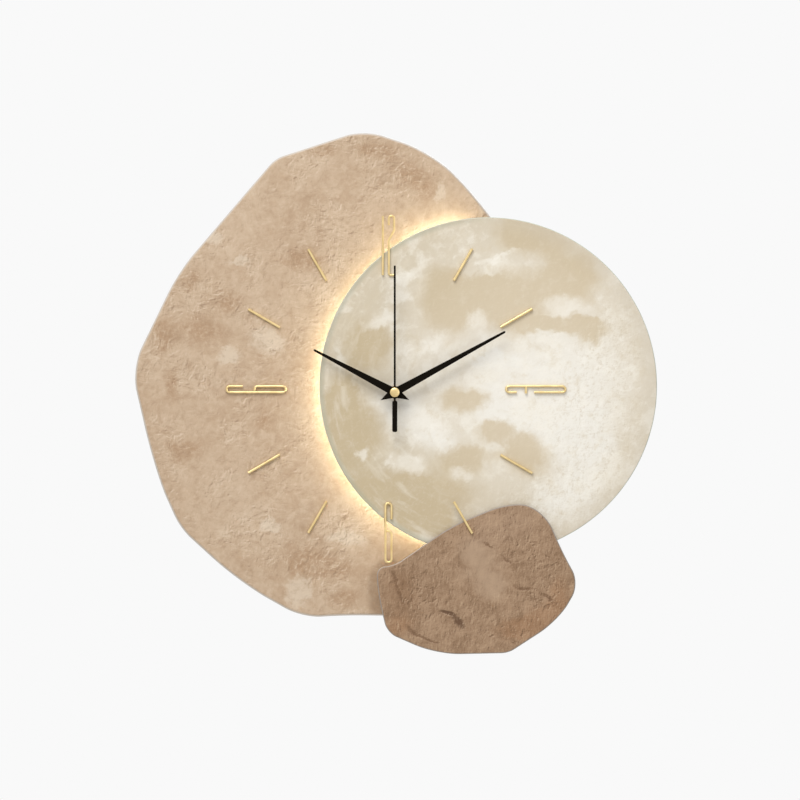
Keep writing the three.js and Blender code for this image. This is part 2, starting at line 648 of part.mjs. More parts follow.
function addCase() {
  const caseOutline = () => rectangle({ wide: CASE_SIDE, high: CASE_SIDE, rounding: CASE_ROUNDING });
  const floor = caseOutline();
  const bay = { y: bayY, wide: 2 * insideHalf, high: 2 * bayHalf };
  floor.holes.push(new THREE.Path(rectangle(bay).getPoints()));
  floor.holes.push(pivotHole(spot(0, 0), SECOND_ARBOR_RADIUS), pivotHole(minuteAt, SETTING_ARBOR_RADIUS));
  [thirdAt, intermediateAt, rotorAt].forEach((place) => floor.holes.push(pivotHole(place)));
  const wall = caseOutline();
  wall.holes.push(new THREE.Path(rectangle({ wide: 2 * insideHalf, high: 2 * insideHalf }).getPoints()));
  const rim = plateBack - SEAT;
  const partitionAt = {
    x: 0,
    y: bayY + bayHalf + PARTITION / 2,
    wide: 2 * insideHalf + CASE_WALL,
    high: PARTITION,
  };
  const partition = block(partitionAt, caseBack, rim - PLATE_LIP);
  const posts = statorPosts.map((place) => at(place, rod(POST_RADIUS, caseBack, statorBack - SEAT)));
  const shell = [slab(floor, caseBack, floorTop), slab(wall, caseBack, rim)];
  addPiece("movement_case", join(...shell, partition, ...posts), "darkPlastic");

  const face = caseOutline();
  face.holes.push(new THREE.Path(circle(bushBore, SHAFT_SIDES)));
  const back = caseOutline();
  back.holes.push(new THREE.Path(circle(bushBore, SHAFT_SIDES)), pivotHole(minuteAt, SETTING_ARBOR_RADIUS));
  [thirdAt, intermediateAt, rotorAt].forEach((place) => back.holes.push(pivotHole(place)));
  const lipSide = 2 * (insideHalf - SEAT);
  const lip = rectangle({ wide: lipSide, high: lipSide });
  const inside = lipSide - 2 * CASE_WALL;
  lip.holes.push(new THREE.Path(rectangle({ wide: inside, high: inside }).getPoints()));
  const skinBack = caseFront - PLATE_SKIN;
  const plate = [slab(back, plateBack, skinBack), slab(face, skinBack, caseFront)];
  const rimRing = slab(lip, plateBack - PLATE_LIP, plateBack);
  const bush = tube(bushBore, BUSH_RADIUS, skinBack, bushFront);
  addPiece("movement_front", join(...plate, rimRing, bush), "darkPlastic");

  addPiece("gasket", tube(clampBore, GASKET_RADIUS, gasketBack, moonBack - SEAT, ROUND_SIDES), "rubber");
  const washer = tube(clampBore, WASHER_RADIUS, washerBack, washerBack + WASHER_THICK, ROUND_SIDES);
  addPiece("clamp_washer", washer, "brass");
  const nutCornerRadius = NUT_ACROSS_FLATS / (2 * Math.cos(Math.PI / NUT_SIDES));
  const hexagon = new THREE.Shape(circle(nutCornerRadius, NUT_SIDES));
  hexagon.holes.push(new THREE.Path(circle(clampBore, SHAFT_SIDES)));
  addPiece("clamp_nut", slab(hexagon, nutBack, nutBack + NUT_THICK), "brass");
}

// Wheel train
const wheelSlab = (teeth, module, turn, index) =>
  slab(gear(teeth, module, WHEEL_TOOTH, turn), layer(index), layer(index) + WHEEL_THICK);
const pinionSlab = (leaves, module, index) => {
  const back = layer(index) - PINION_OVER;
  return slab(gear(leaves, module, PINION_TOOTH, 0), back, back + WHEEL_THICK + 2 * PINION_OVER);
};
const pivots = rod(PIVOT_RADIUS, floorTop - PIVOT_DEPTH, plateBack + PIVOT_DEPTH);

function addTrain() {
  const magnetBack = statorBack + STATOR_THICK / 2 - MAGNET_HEIGHT / 2;
  const magnet = rod(MAGNET_RADIUS, magnetBack, magnetBack + MAGNET_HEIGHT);
  const rotorLeaves = pinionSlab(ROTOR_LEAVES, TRAIN_MODULE, LAYER.third);
  addPiece("rotor", at(rotorAt, join(pivots, magnet, rotorLeaves)), "steel");

  const intermediateTurn = meshTurn(ROTOR_LEAVES, ROTOR_DIRECTION + Math.PI, INTERMEDIATE_TEETH);
  const intermediate = [
    wheelSlab(INTERMEDIATE_TEETH, TRAIN_MODULE, intermediateTurn, LAYER.third),
    pinionSlab(INTERMEDIATE_LEAVES, TRAIN_MODULE, LAYER.second),
  ];
  addPiece("intermediate_wheel", at(intermediateAt, join(pivots, ...intermediate)), "whitePlastic");

  const secondTurn = meshTurn(INTERMEDIATE_LEAVES, INTERMEDIATE_DIRECTION + Math.PI, SECOND_TEETH);
  const second = [
    rod(SECOND_ARBOR_RADIUS, floorTop - PIVOT_DEPTH, secondHandFront),
    wheelSlab(SECOND_TEETH, TRAIN_MODULE, secondTurn, LAYER.second),
    pinionSlab(SECOND_LEAVES, fourthModule, LAYER.third),
  ];
  addPiece("second_wheel", join(...second), "whitePlastic");

  const thirdTurn = meshTurn(SECOND_LEAVES, THIRD_DIRECTION, THIRD_TEETH);
  const third = [
    wheelSlab(THIRD_TEETH, fourthModule, thirdTurn, LAYER.third),
    pinionSlab(THIRD_LEAVES, TRAIN_MODULE, LAYER.centre),
  ];
  addPiece("third_wheel", at(thirdAt, join(pivots, ...third)), "whitePlastic");

  const centreTurn = meshTurn(THIRD_LEAVES, THIRD_DIRECTION + Math.PI, CENTRE_TEETH);
  const clutchHole = rod(cannonRadius + PRESS_FIT, layer(LAYER.centre) - CUT_OVER, layer(LAYER.minute));
  const centre = wheelSlab(CENTRE_TEETH, TRAIN_MODULE, centreTurn, LAYER.centre);
  addPiece("centre_wheel", cut(centre, clutchHole), "whitePlastic");
}

// Motion work: cannon pinion, minute wheel with the setting knob, hour wheel
function addMotionWork() {
  const flangeFront = layer(LAYER.centre) - SEAT;
  const flangeBack = flangeFront - FLANGE_THICK;
  const cannon = [
    tube(cannonBore, cannonRadius, flangeBack, minuteHandBack + HAND_THICK),
    tube(cannonBore, FLANGE_RADIUS, flangeBack, flangeFront),
  ];
  const leaves = pinionSlab(CANNON_LEAVES, MOTION_MODULE, LAYER.minute);
  const bore = rod(cannonBore, flangeBack - CUT_OVER, minuteHandBack + HAND_THICK + CUT_OVER);
  addPiece("cannon_pinion", cut(join(...cannon, leaves), bore), "brass");

  const knobFront = caseBack - SEAT;
  const knobBack = knobFront - KNOB_HEIGHT;
  const minuteTurn = meshTurn(CANNON_LEAVES, MINUTE_DIRECTION, MINUTE_TEETH);
  const minute = [
    rod(SETTING_ARBOR_RADIUS, knobBack + KNOB_SKIN + SEAT, plateBack + PIVOT_DEPTH),
    wheelSlab(MINUTE_TEETH, MOTION_MODULE, minuteTurn, LAYER.minute),
    pinionSlab(MINUTE_LEAVES, MOTION_MODULE, LAYER.hour),
  ];
  addPiece("minute_wheel", at(minuteAt, join(...minute)), "whitePlastic");

  const flute = (i) => KNOB_RADIUS - (i % 2) * KNOB_FLUTE_DEPTH;
  const fluted = Array.from({ length: 2 * KNOB_FLUTES }, (_, i) =>
    polar(flute(i), (Math.PI * i) / KNOB_FLUTES));
  const knob = slab(new THREE.Shape(fluted), knobBack, knobFront);
  const socket = rod(SETTING_ARBOR_RADIUS + PRESS_FIT, knobBack + KNOB_SKIN, knobFront + CUT_OVER);
  addPiece("setting_knob", at(minuteAt, cut(knob, socket)), "palePlastic");

  const hourTurn = meshTurn(MINUTE_LEAVES, MINUTE_DIRECTION + Math.PI, HOUR_TEETH);
  const hubBack = layer(LAYER.minute) + WHEEL_THICK + PINION_OVER + SEAT;
  const hour = [
    wheelSlab(HOUR_TEETH, MOTION_MODULE, hourTurn, LAYER.hour),
    rod(hourTubeRadius, hubBack, hourHandBack + HAND_THICK),
  ];
  const hourHole = rod(hourBore, hubBack - CUT_OVER, hourHandBack + HAND_THICK + CUT_OVER);
  addPiece("hour_wheel", cut(join(...hour), hourHole), "whitePlastic");
}

// Stepping motor, circuit board and the clock's own cell
function addMotor() {
  const statorFront = statorBack + STATOR_THICK;
  const limb = (from, to) => {
    const { x, y } = from.clone().add(to).divideScalar(2);
    const wide = Math.abs(to.x - from.x) + LIMB_WIDTH;
    const high = Math.abs(to.y - from.y) + LIMB_WIDTH;
    return block({ x, y, wide, high }, statorBack, statorFront);
  };
  const [yokeLeft, yokeRight] = statorPosts;
  const core = spot(CORE_X, rotorAt.y);
  const loop = [
    at(rotorAt, rod(POLE_RADIUS, statorBack, statorFront, ROUND_SIDES)),
    limb(spot(yokeLeft.x, rotorAt.y), yokeLeft),
    limb(yokeLeft, yokeRight),
    limb(yokeRight, core),
    limb(core, rotorAt),
  ];
  const bore = rod(MAGNET_RADIUS + AIR_GAP, statorBack - CUT_OVER, statorFront + CUT_OVER, ROUND_SIDES);
  addPiece("stator", cut(join(...loop), at(rotorAt, bore)), "steel");

  const coilZ = statorBack + STATOR_THICK / 2;
  const along = (geometry) => geometry.rotateX(-Math.PI / 2).translate(CORE_X, COIL_MIDDLE_Y, coilZ);
  const half = COIL_LENGTH / 2;
  const coreHalf = LIMB_WIDTH / 2 + SEAT;
  const spoolRadius = Math.hypot(coreHalf, STATOR_THICK / 2 + SEAT) + BOBBIN_WALL;
  const spool = join(
    rod(spoolRadius, -half, half),
    rod(COIL_RADIUS, -half, BOBBIN_FLANGE - half),
    rod(COIL_RADIUS, half - BOBBIN_FLANGE, half),
  );
  const coreSlotAt = { x: 0, y: 0, wide: 2 * coreHalf, high: STATOR_THICK + 2 * SEAT };
  const coreSlot = block(coreSlotAt, -half - CUT_OVER, half + CUT_OVER);
  addPiece("coil_bobbin", along(cut(spool, coreSlot)), "palePlastic");
  const windingHalf = half - BOBBIN_FLANGE - SEAT;
  const winding = tube(spoolRadius + SEAT, COIL_RADIUS - SEAT, -windingHalf, windingHalf);
  addPiece("coil_winding", along(winding), "copper");

  const boardTop = YOKE_Y - POST_RADIUS - SEAT;
  const boardAt = {
    x: insideHalf - SEAT - BOARD_WIDE / 2,
    y: boardTop - BOARD_HIGH / 2,
    wide: BOARD_WIDE,
    high: BOARD_HIGH,
  };
  const boardBack = floorTop + SEAT;
  const boardFront = boardBack + BOARD_THICK;
  const blobBack = boardFront - SEAT;
  const blobFront = boardFront + CHIP_BLOB_HEIGHT;
  const blob = turned([
    [0, blobBack], [CHIP_BLOB_RADIUS, blobBack],
    [CHIP_BLOB_RADIUS / 2, blobFront], [0, blobFront],
  ]);
  const upperHalf = spot(boardAt.x, (boardAt.y + boardTop) / 2);
  addPiece("circuit_board", join(block(boardAt, boardBack, boardFront), at(upperHalf, blob)), "board");
  const crystal = rod(CRYSTAL_RADIUS, -CRYSTAL_LENGTH / 2, CRYSTAL_LENGTH / 2).rotateX(Math.PI / 2);
  const crystalX = boardAt.x - BOARD_WIDE / 2 + SEAT + CRYSTAL_RADIUS;
  crystal.translate(crystalX, boardAt.y, boardFront + SEAT + CRYSTAL_RADIUS);
  addPiece("quartz_crystal", crystal, "steel");
}

// Round cell along x with its button to the right, its middle at the origin
function cell() {
  const back = -cellFull / 2;
  const shoulder = back + CELL_LENGTH;
  const body = [[0, back], [CELL_RADIUS, back], [CELL_RADIUS, shoulder], [CELL_BUTTON_RADIUS, shoulder]];
  return turned([...body, [CELL_BUTTON_RADIUS, cellFull / 2], [0, cellFull / 2]]).rotateY(Math.PI / 2);
}

const contact = (wide, high) => new THREE.BoxGeometry(CONTACT_THICK, wide, high);

function addClockCell() {
  const cellZ = plateBack - PLATE_LIP - SEAT - CELL_RADIUS;
  addPiece("clock_cell", cell().translate(0, bayY, cellZ), "cell");
  const contactX = insideHalf - SEAT - CONTACT_THICK / 2;
  const plate = () => contact(CONTACT_WIDE, CONTACT_HIGH);
  addPiece("contact_positive", plate().translate(contactX, bayY, cellZ), "steel");
  addPiece("contact_negative", plate().translate(-contactX, bayY, cellZ), "steel");
}

// Battery box of the light, its lid, switch, cells and contacts
const boxInside = {
  long: cellFull + 2 * (2 * SEAT + CONTACT_THICK),
  wide: BOX_CELLS * CELL_SPACING + SWITCH_BAY,
};
const boxFront = stoneBack - SEAT;
const boxFloor = boxFront - BOX_FLOOR;
const boxCellZ = boxFloor - SEAT - CELL_RADIUS;
const lidFront = boxCellZ - CELL_RADIUS - 2 * SEAT;
const lidBack = lidFront - LID_THICK;
const boxBack = lidBack - SEAT - LID_LIP;
const boxTop = BOX_Y + boxInside.wide / 2 + BOX_WALL;
const boxHalfLong = boxInside.long / 2 + BOX_WALL;

function addBatteryBox() {
  const outside = { x: BOX_X, y: BOX_Y, wide: 2 * boxHalfLong, high: boxInside.wide + 2 * BOX_WALL };
  const inside = { x: BOX_X, y: BOX_Y, wide: boxInside.long, high: boxInside.wide };
  const runOut = BOX_WALL + CUT_OVER;
  const lidWay = { ...inside, x: BOX_X + runOut / 2, wide: boxInside.long + runOut };
  const grooves = { ...lidWay, high: boxInside.wide + 2 * LID_GROOVE };
  const switchMiddle = BOX_X + SWITCH_X;
  const slotLong = SWITCH_NUB + SWITCH_TRAVEL + 2 * SEAT;
  const switchZ = (boxFloor + lidFront) / 2;
  const slotHigh = SWITCH_NUB_HIGH + 2 * SEAT;
  const slotAt = {
    x: switchMiddle,
    y: boxTop - BOX_WALL / 2,
    wide: slotLong,
    high: BOX_WALL + 2 * CUT_OVER,
  };
  const leadHoleTool = rod(LEAD_RADIUS + SEAT, -BOX_WALL - CUT_OVER, CUT_OVER).rotateX(-Math.PI / 2);
  const tools = [
    block(inside, lidFront, boxFloor),
    block(grooves, lidBack - SEAT, lidFront + SEAT),
    block(lidWay, boxBack - CUT_OVER, lidBack),
    block(slotAt, switchZ - slotHigh / 2, switchZ + slotHigh / 2),
    leadHoleTool.translate(leadHole.x, boxTop, leadZ),
  ];
  addPiece("battery_box", cut(block(outside, boxBack, boxFront), ...tools), "darkPlastic");

  const lid = {
    x: BOX_X + BOX_WALL / 2,
    y: BOX_Y,
    wide: boxInside.long + BOX_WALL - 2 * SEAT,
    high: grooves.high - 2 * SEAT,
  };
  const ridges = Array.from({ length: LID_RIDGES }, (_, i) => {
    const x = BOX_X + LID_RIDGE_START + i * LID_RIDGE_SPACING;
    const ridge = { x, y: BOX_Y, wide: LID_RIDGE_WIDTH, high: LID_RIDGE_LENGTH };
    return block(ridge, lidBack - LID_RIDGE_HEIGHT, lidFront);
  });
  addPiece("battery_box_lid", join(block(lid, lidBack, lidFront), ...ridges), "darkPlastic");

  const nubX = switchMiddle - SWITCH_TRAVEL / 2;
  const plateFront = boxTop - BOX_WALL - SEAT;
  const nubReach = SWITCH_NUB_REACH + BOX_WALL + SEAT + SWITCH_PLATE_THICK;
  const nubY = plateFront - SWITCH_PLATE_THICK + nubReach / 2;
  const nub = { x: nubX, y: nubY, wide: SWITCH_NUB, high: nubReach };
  const plateLong = slotLong + SWITCH_TRAVEL + 2 * SWITCH_PLATE_MARGIN;
  const plateY = plateFront - SWITCH_PLATE_THICK / 2;
  const plate = { x: nubX, y: plateY, wide: plateLong, high: SWITCH_PLATE_THICK };
  const plateHalf = slotHigh / 2 + SWITCH_PLATE_MARGIN;
  const slider = join(
    block(plate, switchZ - plateHalf, switchZ + plateHalf),
    block(nub, switchZ - SWITCH_NUB_HIGH / 2, switchZ + SWITCH_NUB_HIGH / 2),
  );
  addPiece("light_switch", slider, "whitePlastic");

  const firstY = BOX_Y - boxInside.wide / 2 + CELL_SPACING / 2;
  for (let i = 0; i < BOX_CELLS; i += 1) {
    const laid = i % 2 === 0 ? cell() : cell().rotateZ(Math.PI);
    addPiece(`light_cell_${i + 1}`, laid.translate(BOX_X, firstY + i * CELL_SPACING, boxCellZ), "cell");
  }
  const contactX = boxInside.long / 2 - SEAT - CONTACT_THICK / 2;
  const rowMiddle = firstY + ((BOX_CELLS - 1) * CELL_SPACING) / 2;
  const rowWide = BOX_CELLS * CELL_SPACING - CELL_RADIUS;
  const row = () => contact(rowWide, CONTACT_HIGH);
  addPiece("box_contact_left", row().translate(BOX_X - contactX, rowMiddle, boxCellZ), "steel");
  addPiece("box_contact_right", row().translate(BOX_X + contactX, rowMiddle, boxCellZ), "steel");
}

// Lead from the battery box, up the back of the stone board and through it to the end of the strip
const leadZ = stoneBack - SEAT - LEAD_RADIUS;

function addLead() {
  const stripEnd = THREE.MathUtils.degToRad(LIGHT_FROM);
  const endAt = polar(carrierRadius + SEAT + STRIP_THICK / 2, stripEnd).add(moonAt);
  const back = polar(SEAT, stripEnd - Math.PI / 2);
  const end = new THREE.Vector3(endAt.x + back.x, endAt.y + back.y, chamberMiddle);
  const approach = polar(LEAD_BEND / 2, stripEnd - Math.PI / 2);
  const { x, y } = leadHole;
  const straight = [
    new THREE.Vector3(x, boxTop - BOX_WALL, leadZ),
    new THREE.Vector3(x, y - LEAD_BEND, leadZ),
  ];
  const through = [
    new THREE.Vector3(x, y, leadZ + LEAD_BEND),
    new THREE.Vector3(x, y, chamberMiddle - LEAD_BEND / 2),
  ];
  const path = new THREE.CurvePath();
  path.add(new THREE.LineCurve3(...straight));
  path.add(new THREE.QuadraticBezierCurve3(straight[1], new THREE.Vector3(x, y, leadZ), through[0]));
  path.add(new THREE.LineCurve3(...through));
  const last = end.clone().add(new THREE.Vector3(approach.x, approach.y, 0));
  path.add(new THREE.QuadraticBezierCurve3(through[1], new THREE.Vector3(x, y, chamberMiddle), last));
  path.add(new THREE.LineCurve3(last, end));
  const section = new THREE.Shape(circle(LEAD_RADIUS, LEAD_SIDES));
  const settings = { steps: LEAD_STEPS, extrudePath: path };
  addPiece("light_lead", new THREE.ExtrudeGeometry(section, settings), "whitePlastic");
}

// Battens, keyhole hanger and its screws
function addBack() {
  const slotEnd = spot(0, HANGER_DROP);
  const headMiddle = spot(0, HANGER_DROP - KEYHOLE_DROP);
  const hanger = { y: (slotEnd.y + headMiddle.y) / 2, wide: HANGER_WIDE, high: HANGER_HIGH };
  const recess = { x: 0, y: hanger.y, wide: HANGER_WIDE + 2 * SEAT, high: HANGER_HIGH + 2 * SEAT };
  const pocket = {
    x: 0,
    y: hanger.y,
    wide: 2 * (KEYHOLE_HEAD_RADIUS + POCKET_MARGIN),
    high: KEYHOLE_DROP + 2 * (KEYHOLE_HEAD_RADIUS + POCKET_MARGIN),
  };
  const screwX = [-HANGER_SCREW_SPACING / 2, HANGER_SCREW_SPACING / 2];
  const pilot = () => rod(SCREW_RADIUS + SEAT, -CUT_OVER, SCREW_LENGTH + SEAT);
  const tools = [
    block(recess, -CUT_OVER, HANGER_THICK + SEAT),
    block(pocket, -CUT_OVER, HANGER_THICK + POCKET_DEPTH),
    ...screwX.map((x) => at(spot(x, hanger.y), pilot())),
  ];
  const topBatten = { ...TOP_BATTEN, y: hanger.y };
  addPiece("top_batten", cut(block(topBatten, 0, BATTEN_DEPTH), ...tools), "wood");
  addPiece("bottom_batten", block(BOTTOM_BATTEN, 0, BATTEN_DEPTH), "wood");

  const through = HANGER_THICK + CUT_OVER;
  const slot = slab(stroke(slotEnd, headMiddle, 2 * KEYHOLE_SLOT_RADIUS), -CUT_OVER, through);
  const headHole = at(headMiddle, rod(KEYHOLE_HEAD_RADIUS, -CUT_OVER, through, ROUND_SIDES));
  const sink = () => turned([
    [0, 0], [SCREW_HEAD_RADIUS + SEAT, 0],
    [SCREW_RADIUS + SEAT, SCREW_HEAD_HEIGHT], [0, SCREW_HEAD_HEIGHT],
  ]);
  const sinks = screwX.map((x) => at(spot(x, hanger.y), sink()));
  const plate = slab(rectangle({ ...hanger, rounding: HANGER_ROUNDING }), 0, HANGER_THICK);
  addPiece("keyhole_hanger", cut(plate, slot, headHole, ...sinks), "steel");

  const profile = [
    [0, 0], [SCREW_HEAD_RADIUS, 0], [SCREW_RADIUS, SCREW_HEAD_HEIGHT],
    [SCREW_RADIUS, SCREW_LENGTH - SCREW_TIP], [0, SCREW_LENGTH],
  ];
  addPiece("hanger_screw_left", at(spot(screwX[0], hanger.y), turned(profile)), "steel");
  addPiece("hanger_screw_right", at(spot(screwX[1], hanger.y), turned(profile)), "steel");
}

addBoards();
addLight();
addMarkers();
addHands();
addCase();
addTrain();
addMotionWork();
addMotor();
addClockCell();
addBatteryBox();
addLead();
addBack();

const clock = new THREE.Group();
clock.rotation.x = Math.PI / 2;
dial.position.y = -HANGER_DROP;
clock.add(dial);

export default clock;
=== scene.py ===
# %% [markdown]
# # Dressing a lit moon wall clock
# The clock is three printed boards, one in front of another: a large pale stone, a moon lit from behind,
# and a brown pebble. The CAD model holds every size and every moving body. It could be rendered as it is,
# but its edges are hard and its colours flat. So this lesson keeps it as a fixed frame, puts finer pieces
# in the places of those that show, and gives every surface a finish made of nodes.

# %% Load the frame
import json
import math

import bmesh
import bpy
from mathutils import Matrix, Vector


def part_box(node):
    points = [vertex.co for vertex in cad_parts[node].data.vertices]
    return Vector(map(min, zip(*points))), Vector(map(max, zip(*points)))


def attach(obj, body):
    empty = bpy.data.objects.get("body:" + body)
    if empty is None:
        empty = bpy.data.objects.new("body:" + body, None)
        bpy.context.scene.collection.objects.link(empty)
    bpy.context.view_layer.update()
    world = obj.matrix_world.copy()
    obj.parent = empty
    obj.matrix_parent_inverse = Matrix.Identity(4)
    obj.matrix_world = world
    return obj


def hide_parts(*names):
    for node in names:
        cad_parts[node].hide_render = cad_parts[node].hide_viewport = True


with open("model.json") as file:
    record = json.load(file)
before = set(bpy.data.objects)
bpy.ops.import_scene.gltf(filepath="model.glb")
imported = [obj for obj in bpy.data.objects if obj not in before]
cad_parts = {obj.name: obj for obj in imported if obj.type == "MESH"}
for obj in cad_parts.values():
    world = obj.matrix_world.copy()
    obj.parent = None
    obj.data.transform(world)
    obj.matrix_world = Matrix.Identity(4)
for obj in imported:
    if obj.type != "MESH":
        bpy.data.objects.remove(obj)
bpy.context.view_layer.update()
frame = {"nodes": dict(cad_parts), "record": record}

# %% [markdown]
# ## Dial measures
# A clock is drawn from the axis of its hands, in millimetres, with x to the right and y up. The frame is
# in metres from the hook on the wall, with z up. Both could be mixed freely, but one function that turns
# a place on the dial and a depth in front of the wall into a point of the frame keeps the drawing
# readable.

# %% From the dial to the frame
MM = 0.001
AXIS_DROP = 150  # the hands' axis below the hanging point
OUT, RIGHT, UP = (0, -1, 0), (1, 0, 0), (0, 0, 1)
FACE_FRONT = Matrix.Rotation(math.radians(90), 4, "X")
FACE_WALL = Matrix.Rotation(math.radians(-90), 4, "X")


def on_dial(x, y, depth):
    return Vector((x, -depth, y - AXIS_DROP)) * MM


def depth_of(node):
    low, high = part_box(node)
    return -high.y / MM, -low.y / MM


for node in ("stone_board", "moon_disc", "pebble_board"):
    print(node, "lies from %.1f to %.1f mm in front of the wall" % depth_of(node))

# %% [markdown]
# ## Camera
# The photograph looks straight at the dial, and the sides of the boards hardly show, so it was taken from
# far away. An orthographic camera would do for that one picture. A long lens five metres away gives the
# same picture and still works when it walks round the clock.

# %% Camera
PICTURE_WIDTH = 768  # millimetres of the dial's plane across the picture
CAMERA_DISTANCE = 5000
SENSOR_WIDTH = 36
VIEW_CENTRE = on_dial(5.0, -7.3, 40)


def placed(name, data):
    made = bpy.data.objects.new(name, data)
    bpy.context.scene.collection.objects.link(made)
    return made


camera_data = bpy.data.cameras.new("camera")
camera_data.sensor_width = SENSOR_WIDTH
camera_data.lens = SENSOR_WIDTH * CAMERA_DISTANCE / PICTURE_WIDTH
camera = placed("camera", camera_data)
camera.location = VIEW_CENTRE + Vector((0, -CAMERA_DISTANCE * MM, 0))
camera.rotation_euler = (math.radians(90), 0, 0)
bpy.context.scene.camera = camera
bpy.context.scene.view_settings.view_transform = "Standard"
print("lens: %.0f mm" % camera_data.lens)

# %% [markdown]
# ## Writing a finish as Python
# A finish is a graph of nodes. It could be wired by hand, link by link, but then the idea is lost among
# sockets. Here one small class wraps a socket, so that plus, minus and times on it add Math nodes, and
# one method makes every other node from its type, its settings and what goes into its sockets.

# %% Sockets with operators
def operator(operation, reflected=False):
    def applied(self, other=0.0):
        return self.math(operation, *((other, self) if reflected else (self, other)))

    return applied


class Value:
    def __init__(self, tree, socket):
        self.tree = tree
        self.socket = socket

    def node(self, kind, settings, inputs, output=0):
        made = self.tree.nodes.new("ShaderNode" + kind)
        for name, setting in settings.items():
            setattr(made, name, setting)
        for name, given in inputs.items():
            if isinstance(given, Value):
                self.tree.links.new(given.socket, made.inputs[name])
            else:
                made.inputs[name].default_value = given
        return Value(self.tree, made.outputs[output] if made.outputs else None)

    def math(self, operation, first, second):
        return self.node("Math", {"operation": operation}, {0: first, 1: second})

    __add__, __radd__ = operator("ADD"), operator("ADD", True)
    __sub__, __rsub__ = operator("SUBTRACT"), operator("SUBTRACT", True)
    __mul__, __rmul__ = operator("MULTIPLY"), operator("MULTIPLY", True)
    __pow__, __abs__ = operator("POWER"), operator("ABSOLUTE")


def blank(tree):
    tree.nodes.clear()
    return Value(tree, None)


print("a socket now takes + - * ** and abs()")

# %% [markdown]
# ## Words for patterns
# The prints on this clock are made of the same few things: noise of some size, a soft step that turns
# noise into patches, and a mix of two paints by such a mask. Each could be spelled out every time, but
# short functions that name them are easier to read. Colours are written as a paint chip reads on screen,
# and turned to light values here.

# %% Paint and place
def paint(red, green, blue):
    def linear(channel):
        share = channel / 255
        return share / 12.92 if share <= 0.04045 else ((share + 0.055) / 1.055) ** 2.4

    return (linear(red), linear(green), linear(blue), 1.0)


def dial_place(graph):
    """The dial's own millimetres as (x, minus the depth, y)."""
    place = graph.node("TexCoord", {}, {}, "Object")
    scale = (1 / MM, 1 / MM, 1 / MM)
    return graph.node("Mapping", {}, {"Vector": place, "Location": (0, 0, AXIS_DROP), "Scale": scale})


def stretched(place, scale, turn=0.0):
    """Turns what is drawn on the place, then draws it out along each axis whose scale is below 1."""
    turned_by = (0, math.radians(turn), 0)
    return place.node("Mapping", {}, {"Vector": place, "Rotation": turned_by, "Scale": scale})


def shifted(place, by):
    return place.node("VectorMath", {"operation": "ADD"}, {0: place, 1: by})


def part_of(vector, axis):
    return vector.node("SeparateXYZ", {}, {"Vector": vector}, axis)


print("beige plaster is", [round(channel, 3) for channel in paint(201, 176, 147)[:3]])


# %% Noise, steps and coats
def noise(place, size, detail=3.0, roughness=0.55, distortion=0.0, output=0):
    """Noise with lumps of a size in millimetres; detail is how many times finer noise is added to it."""
    inputs = {"Vector": place, "Scale": 1 / size, "Detail": detail, "Roughness": roughness}
    return place.node("TexNoise", {}, {**inputs, "Distortion": distortion}, output)


def step(value, low, high):
    """0 up to low, 1 from high on, smooth between; low may be the larger one."""
    inputs = {"Value": value, "From Min": low, "From Max": high}
    return value.node("MapRange", {"interpolation_type": "SMOOTHSTEP"}, inputs)


SHARE, BELOW, ABOVE, MIXED = 0, 6, 7, 2  # the places of a Mix node's colour sockets


def mix(share, below, above):
    """Two paints or colours, mixed by a mask."""
    below, above = (paint(*given) if isinstance(given, tuple) else given for given in (below, above))
    return share.node("Mix", {"data_type": "RGBA"}, {SHARE: share, BELOW: below, ABOVE: above}, MIXED)


def layered(ground, *coats):
    """Lays coats over a ground, each a mask and a paint."""
    for share, above in coats:
        ground = mix(share, ground, above)
    return ground


def bent(place, size, reach):
    """The place, pushed about by noise, so that round patches get ragged shores."""
    push = noise(place, size, 4.0, 0.6, output="Color")
    settings = {"operation": "MULTIPLY_ADD"}
    moved = push.node("VectorMath", settings, {0: push, 1: (reach,) * 3, 2: (-reach / 2,) * 3})
    return shifted(place, moved)


print("a mix node puts its colour out at place", MIXED)

# %% Spots
FLAT = 1e6  # far wider than the clock is deep, so that depth plays no part


def spot(place, x, y, wide, high, turn=0):
    """1 at a place of the dial, falling to 0 at an ellipse round it; turn lowers its right end."""
    settings = {"vector_type": "TEXTURE"}
    turned_by = (0, math.radians(turn), 0)
    ellipse = {"Location": (x, 0, y), "Rotation": turned_by, "Scale": (wide, FLAT, high)}
    inside = place.node("Mapping", settings, {"Vector": place, **ellipse})
    return place.node("TexGradient", {"gradient_type": "SPHERICAL"}, {"Vector": inside})


def spots(place, ellipses):
    total = spot(place, *ellipses[0])
    for ellipse in ellipses[1:]:
        total = total + spot(place, *ellipse)
    return total


print("a spot falls from 1 to 0 at its ellipse")


# %% Surfaces
def surface(graph, colour, roughness, height=None, depth=0.0, **others):
    """Ends a finish; a height of 1 stands out by the depth in millimetres, others are more sockets."""
    inputs = {"Base Color": colour, "Roughness": roughness, **others}
    if height is not None:
        inputs["Normal"] = graph.node("Bump", {}, {"Height": height, "Distance": depth * MM})
    graph.node("OutputMaterial", {}, {"Surface": graph.node("BsdfPrincipled", {}, inputs)})
    print("a finish of", len(graph.tree.nodes), "nodes")


def raked(place, height, reach):
    """How a height prints under light from the upper left: its fall towards that light."""
    return height(place) - height(shifted(place, (-reach, 0, reach)))


print("a surface takes its relief in millimetres")


# %% Faces and finishes
def facing(graph, axis):
    return part_of(graph.node("TexCoord", {}, {}, "Normal"), axis)


SIDEWAYS, SQUARE = 0.7, 0.98  # how far a face looks to the front or the back, from a side to a full face


